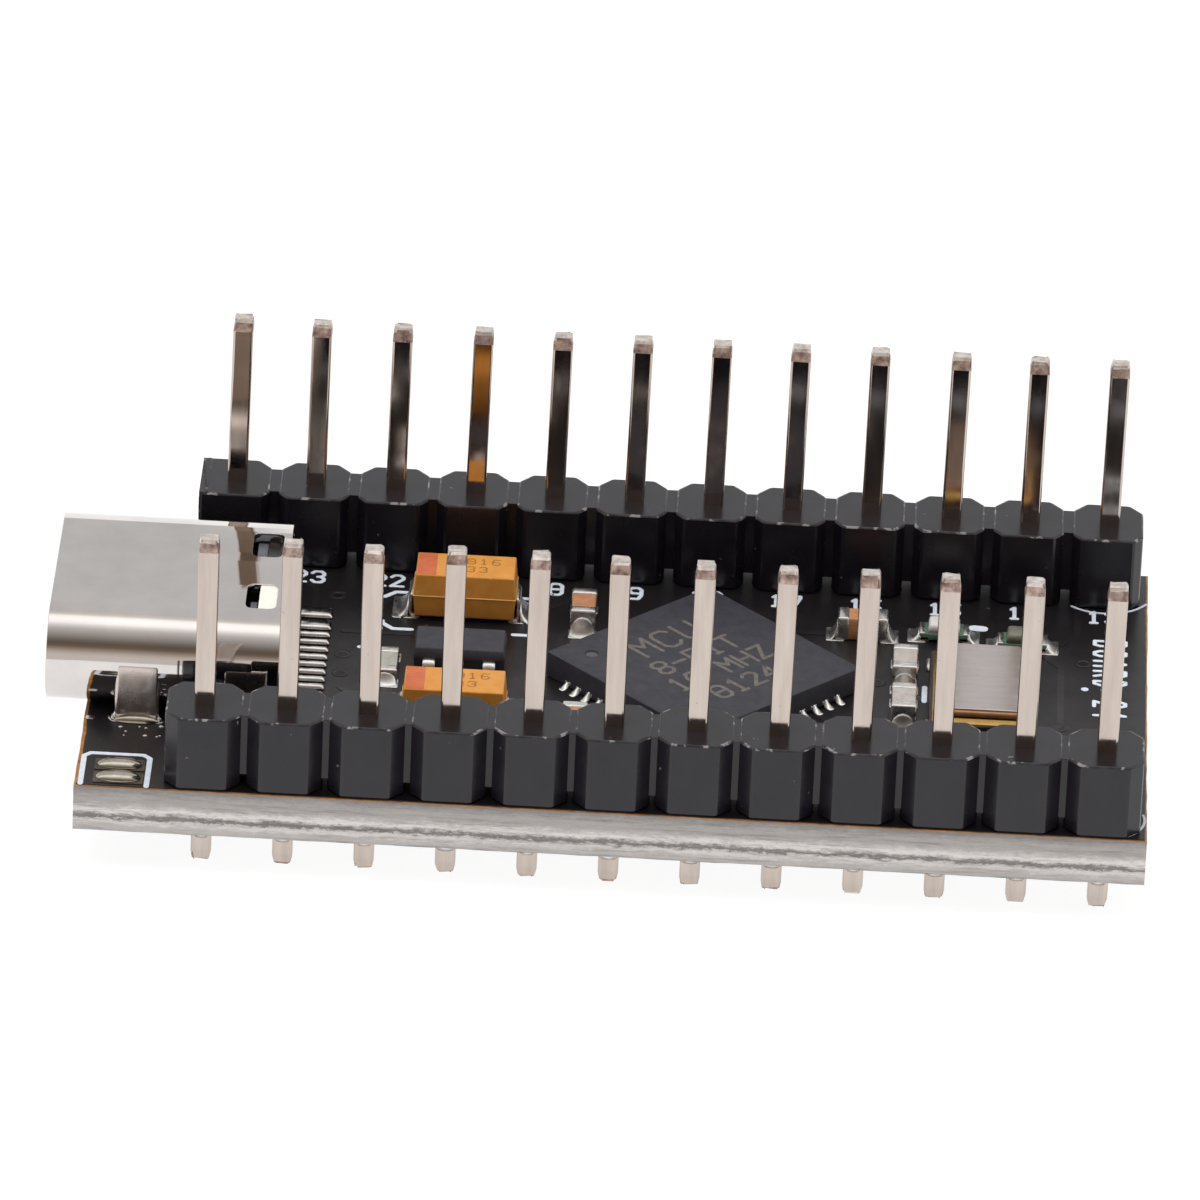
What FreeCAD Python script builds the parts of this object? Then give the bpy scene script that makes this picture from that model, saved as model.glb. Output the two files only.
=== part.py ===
import FreeCAD, Part
import os
import re

import Sketcher

Vector = FreeCAD.Vector
Rotation = FreeCAD.Rotation
Placement = FreeCAD.Placement

doc = FreeCAD.newDocument("dev_board")

# ---------------------------------------------------------------- driving dimensions, mm
# X runs from the receptacle's mouth to the far end, Y across the board, Z up from the tips
# of the header tails. Places of components are measured from the middle of the board.
DIMENSIONS = {
    "board_length": 33.3,
    "board_width": 17.8,
    "board_thick": 1.6,
    "tail_drop": 1.4,
    # two header strips
    "pin_count": 12,
    "pin_pitch": 2.54,
    "pin_side": 0.64,
    "pin_rise": 5.75,
    "pin_point": 0.5,
    "point_draft": 12,
    "first_pin": -12.7,
    "row_offset": 7.62,
    "housing_wide": 2.5,
    "housing_high": 2.5,
    "segment_long": 2.24,
    "segment_corner": 0.4,
    "web_recess": 0.45,
    "web_lift": 0.4,
    "hole_radius": 0.5,
    "joint_radius": 0.82,
    "joint_high": 0.6,
    "joint_tip_radius": 0.48,
    # top-mounted receptacle
    "usb_overhang": 1.25,
    "usb_wide": 8.94,
    "usb_high": 3.16,
    "usb_long": 7.3,
    "usb_wall": 0.3,
    "usb_skirt": 0.85,
    "skirt_clear": 2.2,
    "window_long": 0.95,
    "window_wide": 1.6,
    "window_from_end": 0.25,
    "window_offset": 1.75,
    "tab_share": 0.6,
    "leg_long": 1.4,
    "leg_front": 2.2,
    "leg_rear": 5.55,
    "leg_drop": 1.5,
    "slot_margin": 0.25,
    "peg_radius": 0.3,
    "peg_offset": 2.89,
    "peg_from_mouth": 6.1,
    "tongue_wide": 6.69,
    "tongue_thick": 0.7,
    "tongue_inset": 0.6,
    "insert_face": 4.4,
    "insert_foot": 2.1,
    "plate_wide": 5.4,
    "plate_thick": 0.15,
    "contact_thick": 0.12,
    "contact_inset": 1.1,
    "contact_drop": 7.0,
    "contact_reach": 8.35,
    "contact_narrow": 0.3,
    "contact_broad": 0.6,
    "contact_pitch": 0.5,
    "broad_inner": 2.4,
    "broad_outer": 3.2,
    # quad flat package, turned 45 degrees
    "mcu_x": 2.6,
    "mcu_y": -0.1,
    "mcu_side": 7.0,
    "mcu_high": 0.85,
    "mcu_lift": 0.02,
    "mcu_pitch": 0.5,
    "terminal_wide": 0.25,
    "terminal_long": 0.4,
    "terminal_high": 0.2,
    "toe_long": 0.28,
    "toe_high": 0.1,
    "pad_side": 5.2,
    "die_side": 3.4,
    "die_thick": 0.25,
    # ceramic crystal package
    "crystal_x": 11.34,
    "crystal_y": -0.42,
    "crystal_long": 5.0,
    "crystal_wide": 3.2,
    "ceramic_high": 0.5,
    "ring_high": 0.34,
    "ring_step": 0.12,
    "lid_high": 0.11,
    "lid_step": 0.3,
    "cavity_step": 0.55,
    "cavity_floor": 0.2,
    "blank_thick": 0.08,
    # five-lead regulator
    "regulator_x": -5.1,
    "regulator_y": 0.11,
    "regulator_long": 2.9,
    "regulator_wide": 1.6,
    "regulator_high": 1.05,
    "regulator_lift": 0.08,
    "regulator_draft": 6,
    "lead_pitch": 0.95,
    "lead_wide": 0.4,
    "lead_thick": 0.13,
    "lead_level": 0.6,
    "lead_knee": 0.22,
    "lead_foot": 0.4,
    # moulded tantalum capacitors
    "tantalum_long": 3.3,
    "tantalum_wide": 1.72,
    "tantalum_lift": 0.1,
    "parting_level": 0.88,
    "tantalum_high": 1.62,
    "tantalum_draft": 4,
    "tantalum_tab": 0.14,
    "tab_wide": 1.15,
    "tab_high": 0.75,
    # chip components
    "chip_long": 1.6,
    "chip_wide": 0.8,
    "chip_end": 0.35,
    "chip_skin": 0.02,
    "capacitor_high": 0.82,
    "resistor_high": 0.45,
    "fillet_reach": 0.34,
    # light-emitting diodes
    "substrate_high": 0.3,
    "lens_high": 0.3,
    "lens_long": 1.04,
    # solder jumper
    "jumper_x": -15.3,
    "jumper_y": -7.92,
    "jumper_pitch": 0.86,
    "dome_long": 0.76,
    "dome_wide": 0.34,
    "dome_high": 0.18,
}

NARROW_CONTACTS = 8
SIDE_TERMINALS = 11

# Chip components: place of the middle, direction of the long side in degrees.
CAPACITORS = {
    "supply_capacitor": (-1.33, 3.65, 90),
    "core_capacitor": (7.56, 3.7, 0),
    "load_capacitor_rear": (8.95, 1.02, 90),
    "load_capacitor_front": (8.95, -1.6, 90),
    "decoupling_capacitor": (-1.33, -4.0, 90),
}
RESISTORS = {
    "fuse": (-7.42, -0.3, 90),
    "series_resistor_left": (-9.7, -5.0, 90),
    "series_resistor_right": (-8.45, -5.0, 90),
    "cc_resistor_left": (-6.3, -5.5, 0),
    "cc_resistor_right": (-3.6, -5.5, 0),
    "reset_resistor": (0.4, -5.3, 0),
    "led_resistor": (6.9, -4.2, 90),
}
LEDS = {
    "power_led": (10.15, 3.9, 0),
    "signal_led": (12.65, 3.5, 0),
}
TANTALUMS = {
    "input_tantalum": (-5.12, 4.0),
    "output_tantalum": (-5.12, -3.72),
}
for places in (CAPACITORS, RESISTORS, LEDS, TANTALUMS):
    for name, place_of_middle in places.items():
        DIMENSIONS[name + "_x"] = place_of_middle[0]
        DIMENSIONS[name + "_y"] = place_of_middle[1]

sheet = doc.addObject("Spreadsheet::Sheet", "dims")
for row, (alias, value) in enumerate(DIMENSIONS.items(), start=1):
    sheet.set("A%d" % row, alias)
    sheet.set("B%d" % row, str(value))
    sheet.setAlias("B%d" % row, alias)
doc.recompute()

# Levels and edges that many pieces share, as expressions of the cells.
DECK = "(tail_drop + board_thick)"
MIDDLE = "(usb_overhang / 2)"
MOUTH = "(-usb_overhang / 2 - board_length / 2)"
USB_AXIS = "(tail_drop + board_thick + usb_high / 2)"
FIRST_PIN = "(usb_overhang / 2 + first_pin)"

nodes = {}


# ---------------------------------------------------------------- helpers
def expression(text):
    """Text with each alias, a word holding an underscore, read from the sheet."""
    return re.sub(r"\b[a-z]+(?:_[a-z0-9]+)+\b", lambda word: "dims." + word.group(), text)


def evaluate(text):
    """Number that the text stands for, the first guess of an outline's corner."""
    return float(sheet.evalExpression(expression(text)))


def bind(item, **sizes):
    for size, text in sizes.items():
        item.setExpression(size, expression(text))


def move(item, x="0", y="0", z="0", angle=0):
    item.Placement = Placement(Vector(0, 0, 0), Rotation(Vector(0, 0, 1), angle))
    for axis, text in (("x", x), ("y", y), ("z", z)):
        item.setExpression("Placement.Base." + axis, expression(text))
    return item


def node(item, name):
    """Name the item as a sub-part of the board."""
    item.Label = name
    nodes[name] = item
    return item


def block(name, long, wide, high, x="0", y="0", bottom="0"):
    """Box centred on x and y, standing at the level bottom."""
    item = doc.addObject("Part::Box", name)
    bind(item, Length=long, Width=wide, Height=high)
    return move(item, "%s - (%s) / 2" % (x, long), "%s - (%s) / 2" % (y, wide), bottom)


def fuse(name, items):
    item = doc.addObject("Part::MultiFuse", name)
    item.Shapes = items
    return item


def cut(name, base, tool):
    item = doc.addObject("Part::Cut", name)
    item.Base = base
    item.Tool = tool
    return item


def group(name, items):
    item = doc.addObject("Part::Compound", name)
    item.Links = items
    return item


def new_body(name):
    body = doc.addObject("PartDesign::Body", name)
    body.AllowCompound = True
    return body


def new_sketch(body, name, role="XY_Plane", level="0"):
    plane = next(item for item in body.Origin.OriginFeatures if item.Role == role)
    sketch = body.newObject("Sketcher::SketchObject", name)
    sketch.AttachmentSupport = [(plane, "")]
    sketch.MapMode = "FlatFace"
    sketch.setExpression("AttachmentOffset.Base.z", expression(level))
    return sketch


def polygon(sketch, corners):
    """Closed outline through the corners, each coordinate an expression."""
    count = len(corners)
    first = sketch.GeometryCount
    rough = [Vector(evaluate(x), evaluate(y), 0) for x, y in corners]
    for index in range(count):
        sketch.addGeometry(Part.LineSegment(rough[index], rough[(index + 1) % count]), False)
    for index, (x, y) in enumerate(corners):
        line = first + index
        following = first + (index + 1) % count
        sketch.addConstraint(Sketcher.Constraint("Coincident", line, 2, following, 1))
        for kind, text, value in (("DistanceX", x, rough[index].x), ("DistanceY", y, rough[index].y)):
            number = sketch.addConstraint(Sketcher.Constraint(kind, -1, 1, line, 1, value))
            sketch.setExpression("Constraints[%d]" % number, expression(text))


def rectangle(sketch, long, wide, x="0", y="0"):
    low_x, high_x = "%s - (%s) / 2" % (x, long), "%s + (%s) / 2" % (x, long)
    low_y, high_y = "%s - (%s) / 2" % (y, wide), "%s + (%s) / 2" % (y, wide)
    polygon(sketch, [(low_x, low_y), (high_x, low_y), (high_x, high_y), (low_x, high_y)])


def circle(sketch, radius, x="0", y="0"):
    middle = Vector(evaluate(x), evaluate(y), 0)
    round_edge = sketch.addGeometry(Part.Circle(middle, Vector(0, 0, 1), evaluate(radius)), False)
    for kind, text, value in (("DistanceX", x, middle.x), ("DistanceY", y, middle.y)):
        number = sketch.addConstraint(Sketcher.Constraint(kind, -1, 1, round_edge, 3, value))
        sketch.setExpression("Constraints[%d]" % number, expression(text))
    number = sketch.addConstraint(Sketcher.Constraint("Radius", round_edge, evaluate(radius)))
    sketch.setExpression("Constraints[%d]" % number, expression(radius))


def pad(body, name, sketch, length, draft=None, downward=False):
    item = body.newObject("PartDesign::Pad", name)
    item.Profile = sketch
    item.Reversed = downward
    bind(item, Length=length)
    if draft:
        bind(item, TaperAngle="-" + draft)
    body.Tip = item
    return item


def pocket_up(body, name, sketch, length):
    item = body.newObject("PartDesign::Pocket", name)
    item.Profile = sketch
    item.Reversed = True
    bind(item, Length=length)
    body.Tip = item
    return item


def repeat_along_row(body, name, features, sketch):
    item = body.newObject("PartDesign::LinearPattern", name)
    item.Originals = features
    item.Direction = (sketch, ["H_Axis"])
    bind(item, Length="pin_pitch * (pin_count - 1)", Occurrences="pin_count")
    body.Tip = item


def rod_along_x(name, radius, long, x, y, z):
    item = doc.addObject("Part::Cylinder", name)
    bind(item, Radius=radius, Height=long)
    move(item, x, y, z)
    item.Placement.Rotation = Rotation(Vector(0, 1, 0), 90)
    return item


def stadium_along_x(name, wide, high, long, x, z):
    """Bar along X from x, flat above and below and round at both sides."""
    middle = block(name + "_middle", long, "%s - %s" % (wide, high), high, "%s + (%s) / 2" % (x, long),
                   bottom="%s - (%s) / 2" % (z, high))
    rods = []
    for side, sign in (("left", "-"), ("right", "")):
        offset = "%s(%s - %s) / 2" % (sign, wide, high)
        rods.append(rod_along_x("%s_%s" % (name, side), "(%s) / 2" % high, long, x, offset, z))
    bar = fuse(name, [middle] + rods)
    bar.Refine = True
    return bar


def ramp(name, wide, high, reach, x="0", angle=0):
    """Wedge of solder that falls from high to nothing over its reach."""
    item = doc.addObject("Part::Wedge", name)
    bind(item, Xmin="-(%s) / 2" % wide, Xmax="(%s) / 2" % wide, X2min="-(%s) / 2" % wide,
         X2max="(%s) / 2" % wide, Ymax=reach, Zmax=high, Z2max="chip_skin")
    item.Ymin = 0
    item.Zmin = 0
    item.Z2min = 0
    return move(item, x, angle=angle)


# ---------------------------------------------------------------- board and headers
def leg_places():
    """Name and middle of each of the receptacle's four legs."""
    for end, distance in (("front", "leg_front"), ("rear", "leg_rear")):
        for side, sign in (("near", "-"), ("far", "")):
            x = "%s + %s + leg_long / 2" % (MOUTH, distance)
            yield "%s_%s" % (end, side), x, sign + "(usb_wide - usb_wall) / 2"


def make_circuit_board():
    body = new_body("circuit_board")
    outline = new_sketch(body, "board_outline", level="tail_drop")
    rectangle(outline, "board_length", "board_width", MIDDLE)
    pad(body, "board_sheet", outline, "board_thick")
    slots = new_sketch(body, "leg_slots", level="tail_drop")
    ends = new_sketch(body, "slot_ends", level="tail_drop")
    for _, x, y in leg_places():
        rectangle(slots, "leg_long - slot_margin", "2 * peg_radius", x, y)
    for sign in ("-", ""):
        circle(ends, "peg_radius", MOUTH + " + peg_from_mouth", sign + "peg_offset")
    pocket_up(body, "slot_cuts", slots, "board_thick")
    pocket_up(body, "peg_cuts", ends, "board_thick")
    for end, shift in (("near", "-"), ("far", "+")):
        rounds = new_sketch(body, "slot_rounds_" + end, level="tail_drop")
        for _, x, y in leg_places():
            circle(rounds, "peg_radius", "%s %s (leg_long - slot_margin) / 2" % (x, shift), y)
        pocket_up(body, "round_cuts_" + end, rounds, "board_thick")
    drill = new_sketch(body, "header_drill", level="tail_drop")
    for sign in ("-", ""):
        circle(drill, "hole_radius", FIRST_PIN, sign + "row_offset")
    first_holes = pocket_up(body, "first_holes", drill, "board_thick")
    repeat_along_row(body, "hole_rows", [first_holes], drill)
    node(body, "circuit_board")


def segment_outline(sketch, y):
    """Octagon of one header segment round its pin."""
    half_long, half_wide = "segment_long / 2", "housing_wide / 2"
    short_long, short_wide = half_long + " - segment_corner", half_wide + " - web_recess"
    quarter = [(half_long, short_wide), (short_long, half_wide)]
    corners = []
    for x_sign, y_sign, order in (("+", "+", 1), ("-", "+", -1), ("-", "-", 1), ("+", "-", -1)):
        for long, wide in quarter[::order]:
            corners.append(("%s %s (%s)" % (FIRST_PIN, x_sign, long), "%s %s (%s)" % (y, y_sign, wide)))
    polygon(sketch, corners)


def make_header_housing(side, y, cut_end):
    body = new_body("header_housing_" + side)
    web = new_sketch(body, "web_" + side, level=DECK + " + web_lift")
    rectangle(web, "pin_pitch * (pin_count - 1)", "housing_wide - 2 * web_recess",
              "%s + pin_pitch * (pin_count - 1) / 2" % FIRST_PIN, y)
    pad(body, "web_bar_" + side, web, "housing_high - web_lift")
    segment = new_sketch(body, "segment_" + side, level=DECK)
    segment_outline(segment, y)
    first = pad(body, "first_segment_" + side, segment, "housing_high")
    repeat_along_row(body, "segments_" + side, [first], segment)
    if cut_end:
        end = new_sketch(body, "cut_end_" + side, level=DECK)
        rectangle(end, "segment_long / 2", "housing_wide", FIRST_PIN + " - segment_long / 4", y)
        pad(body, "square_end_" + side, end, "housing_high")
    hole = new_sketch(body, "pin_hole_" + side, level=DECK)
    rectangle(hole, "pin_side", "pin_side", FIRST_PIN, y)
    first_hole = pocket_up(body, "first_pin_hole_" + side, hole, "housing_high")
    repeat_along_row(body, "pin_holes_" + side, [first_hole], hole)
    node(body, "header_housing_" + side)


def make_header_pins(side, y):
    pin_top = DECK + " + housing_high + pin_rise"
    body = new_body("header_pins_" + side)
    foot = new_sketch(body, "pin_foot_" + side, level="pin_point")
    rectangle(foot, "pin_side", "pin_side", FIRST_PIN, y)
    shank = pad(body, "pin_shank_" + side, foot, pin_top + " - 2 * pin_point")
    crown = new_sketch(body, "pin_crown_" + side, level=pin_top + " - pin_point")
    rectangle(crown, "pin_side", "pin_side", FIRST_PIN, y)
    upper_point = pad(body, "upper_point_" + side, crown, "pin_point", draft="point_draft")
    lower_point = pad(body, "lower_point_" + side, foot, "pin_point", draft="point_draft", downward=True)
    repeat_along_row(body, "pins_" + side, [shank, upper_point, lower_point], foot)
    node(body, "header_pins_" + side)


def make_header_solder(side, y):
    """Solder that fills each hole round its pin and ends in a cone under the board."""
    joints = []
    for index in range(DIMENSIONS["pin_count"]):
        suffix = "_%s_%d" % (side, index)
        x = "%s + %d * pin_pitch" % (FIRST_PIN, index)
        barrel = doc.addObject("Part::Cylinder", "barrel" + suffix)
        bind(barrel, Radius="hole_radius", Height="board_thick")
        move(barrel, x, y, "tail_drop")
        cone = doc.addObject("Part::Cone", "cone" + suffix)
        bind(cone, Radius1="joint_tip_radius", Radius2="joint_radius", Height="joint_high")
        move(cone, x, y, "tail_drop - joint_high")
        pin = block("pin_way" + suffix, "pin_side", "pin_side", "joint_high + board_thick", x, y,
                    "tail_drop - joint_high")
        joints.append(cut("joint" + suffix, fuse("joint_fill" + suffix, [barrel, cone]), pin))
    node(group("header_solder_" + side, joints), "header_solder_" + side)


def make_headers():
    for side, y, cut_end in (("front", "-row_offset", False), ("rear", "row_offset", True)):
        make_header_housing(side, y, cut_end)
        make_header_pins(side, y)
        make_header_solder(side, y)


# ---------------------------------------------------------------- receptacle
def window_places():
    x = MOUTH + " + usb_long - window_from_end - window_long / 2"
    for side, sign in (("near", "-"), ("far", "")):
        yield side, x, sign + "window_offset"


def make_usb_shell():
    outer = stadium_along_x("shell_outer", "usb_wide", "usb_high", "usb_long", MOUTH, USB_AXIS)
    bore = stadium_along_x("shell_bore", "usb_wide - 2 * usb_wall", "usb_high - 2 * usb_wall",
                           "usb_long", MOUTH, USB_AXIS)
    skirt = block("skirt_cut", "usb_skirt", "usb_wide", "skirt_clear",
                  MOUTH + " + usb_long - usb_skirt / 2", bottom=DECK)
    legs = []
    for name, x, y in leg_places():
        legs.append(block("leg_" + name, "leg_long", "usb_wall", "leg_drop + usb_high / 2", x, y,
                          bottom=DECK + " - leg_drop"))
    windows = []
    tabs = []
    for side, x, y in window_places():
        windows.append(block("window_" + side, "window_long", "window_wide", "usb_wall", x, y,
                             bottom=DECK + " + usb_high - usb_wall"))
        tabs.append(block("tab_" + side, "window_long * tab_share",
                          "window_wide - 2 * chip_skin", "usb_wall / 2",
                          x + " + window_long * (1 - tab_share) / 2", y,
                          bottom=DECK + " + usb_high - usb_wall"))
    pegs = []
    for side, sign in (("near", "-"), ("far", "")):
        peg = doc.addObject("Part::Cylinder", "peg_" + side)
        bind(peg, Radius="peg_radius", Height="board_thick / 2 + 2 * usb_wall")
        pegs.append(move(peg, MOUTH + " + peg_from_mouth", sign + "peg_offset",
                         DECK + " - board_thick / 2"))
    tube = cut("shell_tube", outer, fuse("shell_cuts", [bore, skirt] + windows + pegs))
    node(fuse("usb_shell", [tube] + legs + tabs), "usb_shell")


CONTACT_LEVELS = {
    "upper": "usb_high / 2 + tongue_thick / 2 - contact_thick",
    "lower": "usb_high / 2 - tongue_thick / 2",
}


def contact_places():
    """Middle, width and sides of the tongue of each contact, as expressions."""
    for sign in ("-", ""):
        for offset in ("broad_inner", "broad_outer"):
            yield sign + offset, "contact_broad", ("upper", "lower")
    for index in range(NARROW_CONTACTS):
        offset = "(%d) * contact_pitch / 2" % (2 * index - NARROW_CONTACTS + 1)
        yield offset, "contact_narrow", ("upper", "lower")[index % 2:index % 2 + 1]


def make_usb_contacts():
    contacts = []
    drop_x = MOUTH + " + contact_drop"
    for index, (y, wide, sides) in enumerate(contact_places()):
        name = "contact_%d_" % index
        start = MOUTH + " + contact_inset"
        strip_long = "contact_drop + contact_thick - contact_inset"
        pieces = []
        for side in sides:
            surface = CONTACT_LEVELS[side]
            pieces.append(block(name + side, strip_long, wide, "contact_thick",
                                "%s + (%s) / 2" % (start, strip_long), y, DECK + " + " + surface))
        riser_high = CONTACT_LEVELS[sides[0]] + " + contact_thick"
        pieces.append(block(name + "riser", "contact_thick", wide, riser_high,
                            drop_x + " + contact_thick / 2", y, DECK))
        foot_long = "contact_reach - contact_drop"
        pieces.append(block(name + "foot", foot_long, wide, "contact_thick",
                            "%s + (%s) / 2" % (drop_x, foot_long), y, bottom=DECK))
        contacts.append(fuse(name + "strip", pieces))
    return node(group("usb_contacts", contacts), "usb_contacts")


def make_usb_insert(contacts):
    plate_start = MOUTH + " + contact_inset"
    plate_long = "insert_face - contact_inset"
    plate = block("usb_mid_plate", plate_long, "plate_wide", "plate_thick",
                  "%s + (%s) / 2" % (plate_start, plate_long), bottom=USB_AXIS + " - plate_thick / 2")
    node(plate, "usb_mid_plate")
    face = MOUTH + " + insert_face"
    core = stadium_along_x("insert_core", "usb_wide - 2 * usb_wall", "usb_high - 2 * usb_wall",
                           "usb_long - insert_face", face, USB_AXIS)
    tongue_long = "insert_face - tongue_inset"
    tongue = block("insert_tongue", tongue_long, "tongue_wide", "tongue_thick",
                   "%s - (%s) / 2" % (face, tongue_long), bottom=USB_AXIS + " - tongue_thick / 2")
    foot = block("insert_foot", "usb_skirt", "usb_wide - 4 * usb_wall", "insert_foot",
                 MOUTH + " + usb_long - usb_skirt / 2", bottom=DECK)
    recesses = []
    for side, x, y in window_places():
        recesses.append(block("recess_" + side, "window_long * (1 - tab_share)", "window_wide",
                              "usb_wall", x + " - window_long * tab_share / 2", y,
                              bottom=DECK + " + usb_high - 2 * usb_wall"))
    pegs = [doc.getObject("peg_near"), doc.getObject("peg_far")]
    solid = fuse("insert_solid", [core, tongue, foot] + pegs)
    ways = fuse("insert_ways", [contacts, plate] + recesses)
    node(cut("usb_insert", solid, ways), "usb_insert")


def make_usb_leg_solder():
    joints = []
    for name, x, y in leg_places():
        level, high = "tail_drop - contact_thick", "board_thick + 2 * contact_thick"
        middle = block("fill_%s" % name, "leg_long - slot_margin", "2 * peg_radius", high, x, y, level)
        rounds = []
        for shift in ("-", "+"):
            end = doc.addObject("Part::Cylinder", "fill_end_%s" % name)
            bind(end, Radius="peg_radius", Height=high)
            rounds.append(move(end, "%s %s (leg_long - slot_margin) / 2" % (x, shift), y, level))
        leg = doc.getObject("leg_" + name)
        joints.append(cut("leg_joint_%s" % name, fuse("leg_fill_%s" % name, [middle] + rounds), leg))
    node(group("usb_leg_solder", joints), "usb_leg_solder")


# ---------------------------------------------------------------- large components
def four_sides(name, items):
    """The items on the +X side of a square, repeated on its four sides."""
    return [move(group("%s_%d" % (name, angle), items), angle=angle) for angle in (0, 90, 180, 270)]


def make_mcu():
    x, y = MIDDLE + " + mcu_x", "mcu_y"
    terminals = []
    toes = []
    for index in range(SIDE_TERMINALS):
        offset = "mcu_pitch * (%d) / 2" % (2 * index - SIDE_TERMINALS + 1)
        terminals.append(block("terminal_%d" % index, "terminal_long", "terminal_wide",
                               "terminal_high", "(mcu_side - terminal_long) / 2", offset))
        toes.append(block("toe_%d" % index, "toe_long", "terminal_wide", "toe_high",
                          "(mcu_side + toe_long) / 2", offset))
    terminal_sides = four_sides("terminal_side", terminals)
    thermal_pad = block("thermal_pad", "pad_side", "pad_side", "terminal_high")
    die = block("die", "die_side", "die_side", "die_thick", bottom="terminal_high")
    moulding = block("moulding", "mcu_side", "mcu_side", "mcu_high", bottom="mcu_lift")
    ways = fuse("moulding_ways", terminal_sides + [thermal_pad, die])
    pieces = {
        "mcu_package": cut("mcu_package", moulding, ways),
        "mcu_terminals": group("mcu_terminals", terminal_sides),
        "mcu_thermal_pad": group("mcu_thermal_pad", [thermal_pad]),
        "mcu_die": group("mcu_die", [die]),
        "mcu_solder": group("mcu_solder", four_sides("toe_side", toes)),
    }
    for name, piece in pieces.items():
        node(move(piece, x, y, DECK, angle=45), name)


def make_crystal():
    x, y = MIDDLE + " + crystal_x", "crystal_y"
    cavity_wide, cavity_long = "crystal_wide - 2 * cavity_step", "crystal_long - 2 * cavity_step"
    base_block = block("ceramic_block", "crystal_wide", "crystal_long", "ceramic_high", x, y, DECK)
    cavity = block("ceramic_cavity", cavity_wide, cavity_long, "ceramic_high - cavity_floor",
                   x, y, DECK + " + cavity_floor")
    ledge = block("blank_ledge", cavity_wide, "cavity_step", "cavity_floor / 2", x,
                  y + " + (crystal_long - 3 * cavity_step) / 2", DECK + " + cavity_floor")
    node(fuse("crystal_base", [cut("ceramic_tray", base_block, cavity), ledge]), "crystal_base")
    blank = block("crystal_blank", cavity_wide + " - cavity_step", cavity_long + " - cavity_step / 2",
                  "blank_thick", x, y + " + cavity_step / 4",
                  DECK + " + cavity_floor * 1.5")
    node(blank, "crystal_blank")
    rim = block("ring_block", "crystal_wide - 2 * ring_step", "crystal_long - 2 * ring_step",
                "ring_high", x, y, DECK + " + ceramic_high")
    rim_hole = block("ring_hole", cavity_wide, cavity_long, "ring_high", x, y, DECK + " + ceramic_high")
    node(cut("crystal_ring", rim, rim_hole), "crystal_ring")
    lid = block("crystal_lid", "crystal_wide - 2 * lid_step", "crystal_long - 2 * lid_step", "lid_high",
                x, y, DECK + " + ceramic_high + ring_high")
    node(lid, "crystal_lid")


def make_moulding(name, long, wide, lift, parting, high, draft, x, y):
    """Moulded case that narrows above and below its parting line."""
    body = new_body(name)
    outline = new_sketch(body, name + "_outline", level="%s + %s" % (DECK, parting))
    rectangle(outline, long, wide, x, y)
    pad(body, name + "_upper", outline, "%s - %s" % (high, parting), draft=draft)
    pad(body, name + "_lower", outline, "%s - %s" % (parting, lift), draft=draft, downward=True)
    node(body, name)


def make_regulator():
    x, y = MIDDLE + " + regulator_x", "regulator_y"
    make_moulding("regulator_body", "regulator_long", "regulator_wide", "regulator_lift",
                  "(lead_level + lead_thick)", "regulator_high", "regulator_draft", x, y)
    near, knee = "regulator_wide / 2", "regulator_wide / 2 + lead_knee"
    outer, toe = knee + " + lead_thick", knee + " + lead_foot"
    top = "lead_level + lead_thick"
    profile = [(near, top), (knee, top), (outer, "lead_level"), (outer, "lead_thick"),
               (toe, "lead_thick"), (toe, "0"), (knee, "0"), (knee, "lead_level"),
               (near, "lead_level")]
    body = new_body("regulator_leads")
    lead_places = [("-", -1), ("-", 1), ("+", -1), ("+", 0), ("+", 1)]
    for index, (sign, step) in enumerate(lead_places):
        start = "%s + (%d) * lead_pitch - lead_wide / 2" % (x, step)
        sketch = new_sketch(body, "lead_profile_%d" % index, "YZ_Plane", start)
        polygon(sketch, [("%s %s (%s)" % (y, sign, reach), "%s + %s" % (DECK, level))
                         for reach, level in profile])
        pad(body, "lead_%d" % index, sketch, "lead_wide")
    node(body, "regulator_leads")


def make_tantalum(name):
    x, y = "%s + %s_x" % (MIDDLE, name), name + "_y"
    make_moulding(name + "_body", "tantalum_long", "tantalum_wide", "tantalum_lift",
                  "parting_level", "tantalum_high", "tantalum_draft", x, y)
    ramps = []
    tabs = []
    for side, sign, angle in (("left", "-", 90), ("right", "+", -90)):
        upright = block("%s_tab_%s" % (name, side), "tantalum_tab", "tab_wide", "tab_high",
                        "%s (tantalum_long + tantalum_tab) / 2" % sign)
        foot = block("%s_foot_%s" % (name, side), "tab_wide / 2", "tab_wide", "tantalum_lift",
                     "%s (tantalum_long - tab_wide / 2) / 2" % sign)
        tabs.append(fuse("%s_terminal_%s" % (name, side), [upright, foot]))
        ramps.append(ramp("%s_ramp_%s" % (name, side), "tantalum_wide", "tab_high * 0.6",
                          "fillet_reach * 1.3", "%s (tantalum_long / 2 + tantalum_tab)" % sign, angle))
    node(move(group(name + "_terminals", tabs), x, y, DECK), name + "_terminals")
    return move(group(name + "_ramps", ramps), x, y, DECK)


# ---------------------------------------------------------------- chip components
def chip_ends(name, high, offset, long):
    return [block("%s_end_%s" % (name, side), long, "chip_wide", high, "%s (%s)" % (sign, offset))
            for side, sign in (("left", "-"), ("right", "+"))]


def chip_ramps(name, high):
    return [ramp("%s_ramp_%s" % (name, side), "chip_wide", high, "fillet_reach",
                 "%s chip_long / 2" % sign, angle)
            for side, sign, angle in (("left", "-", 90), ("right", "+", -90))]


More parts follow.
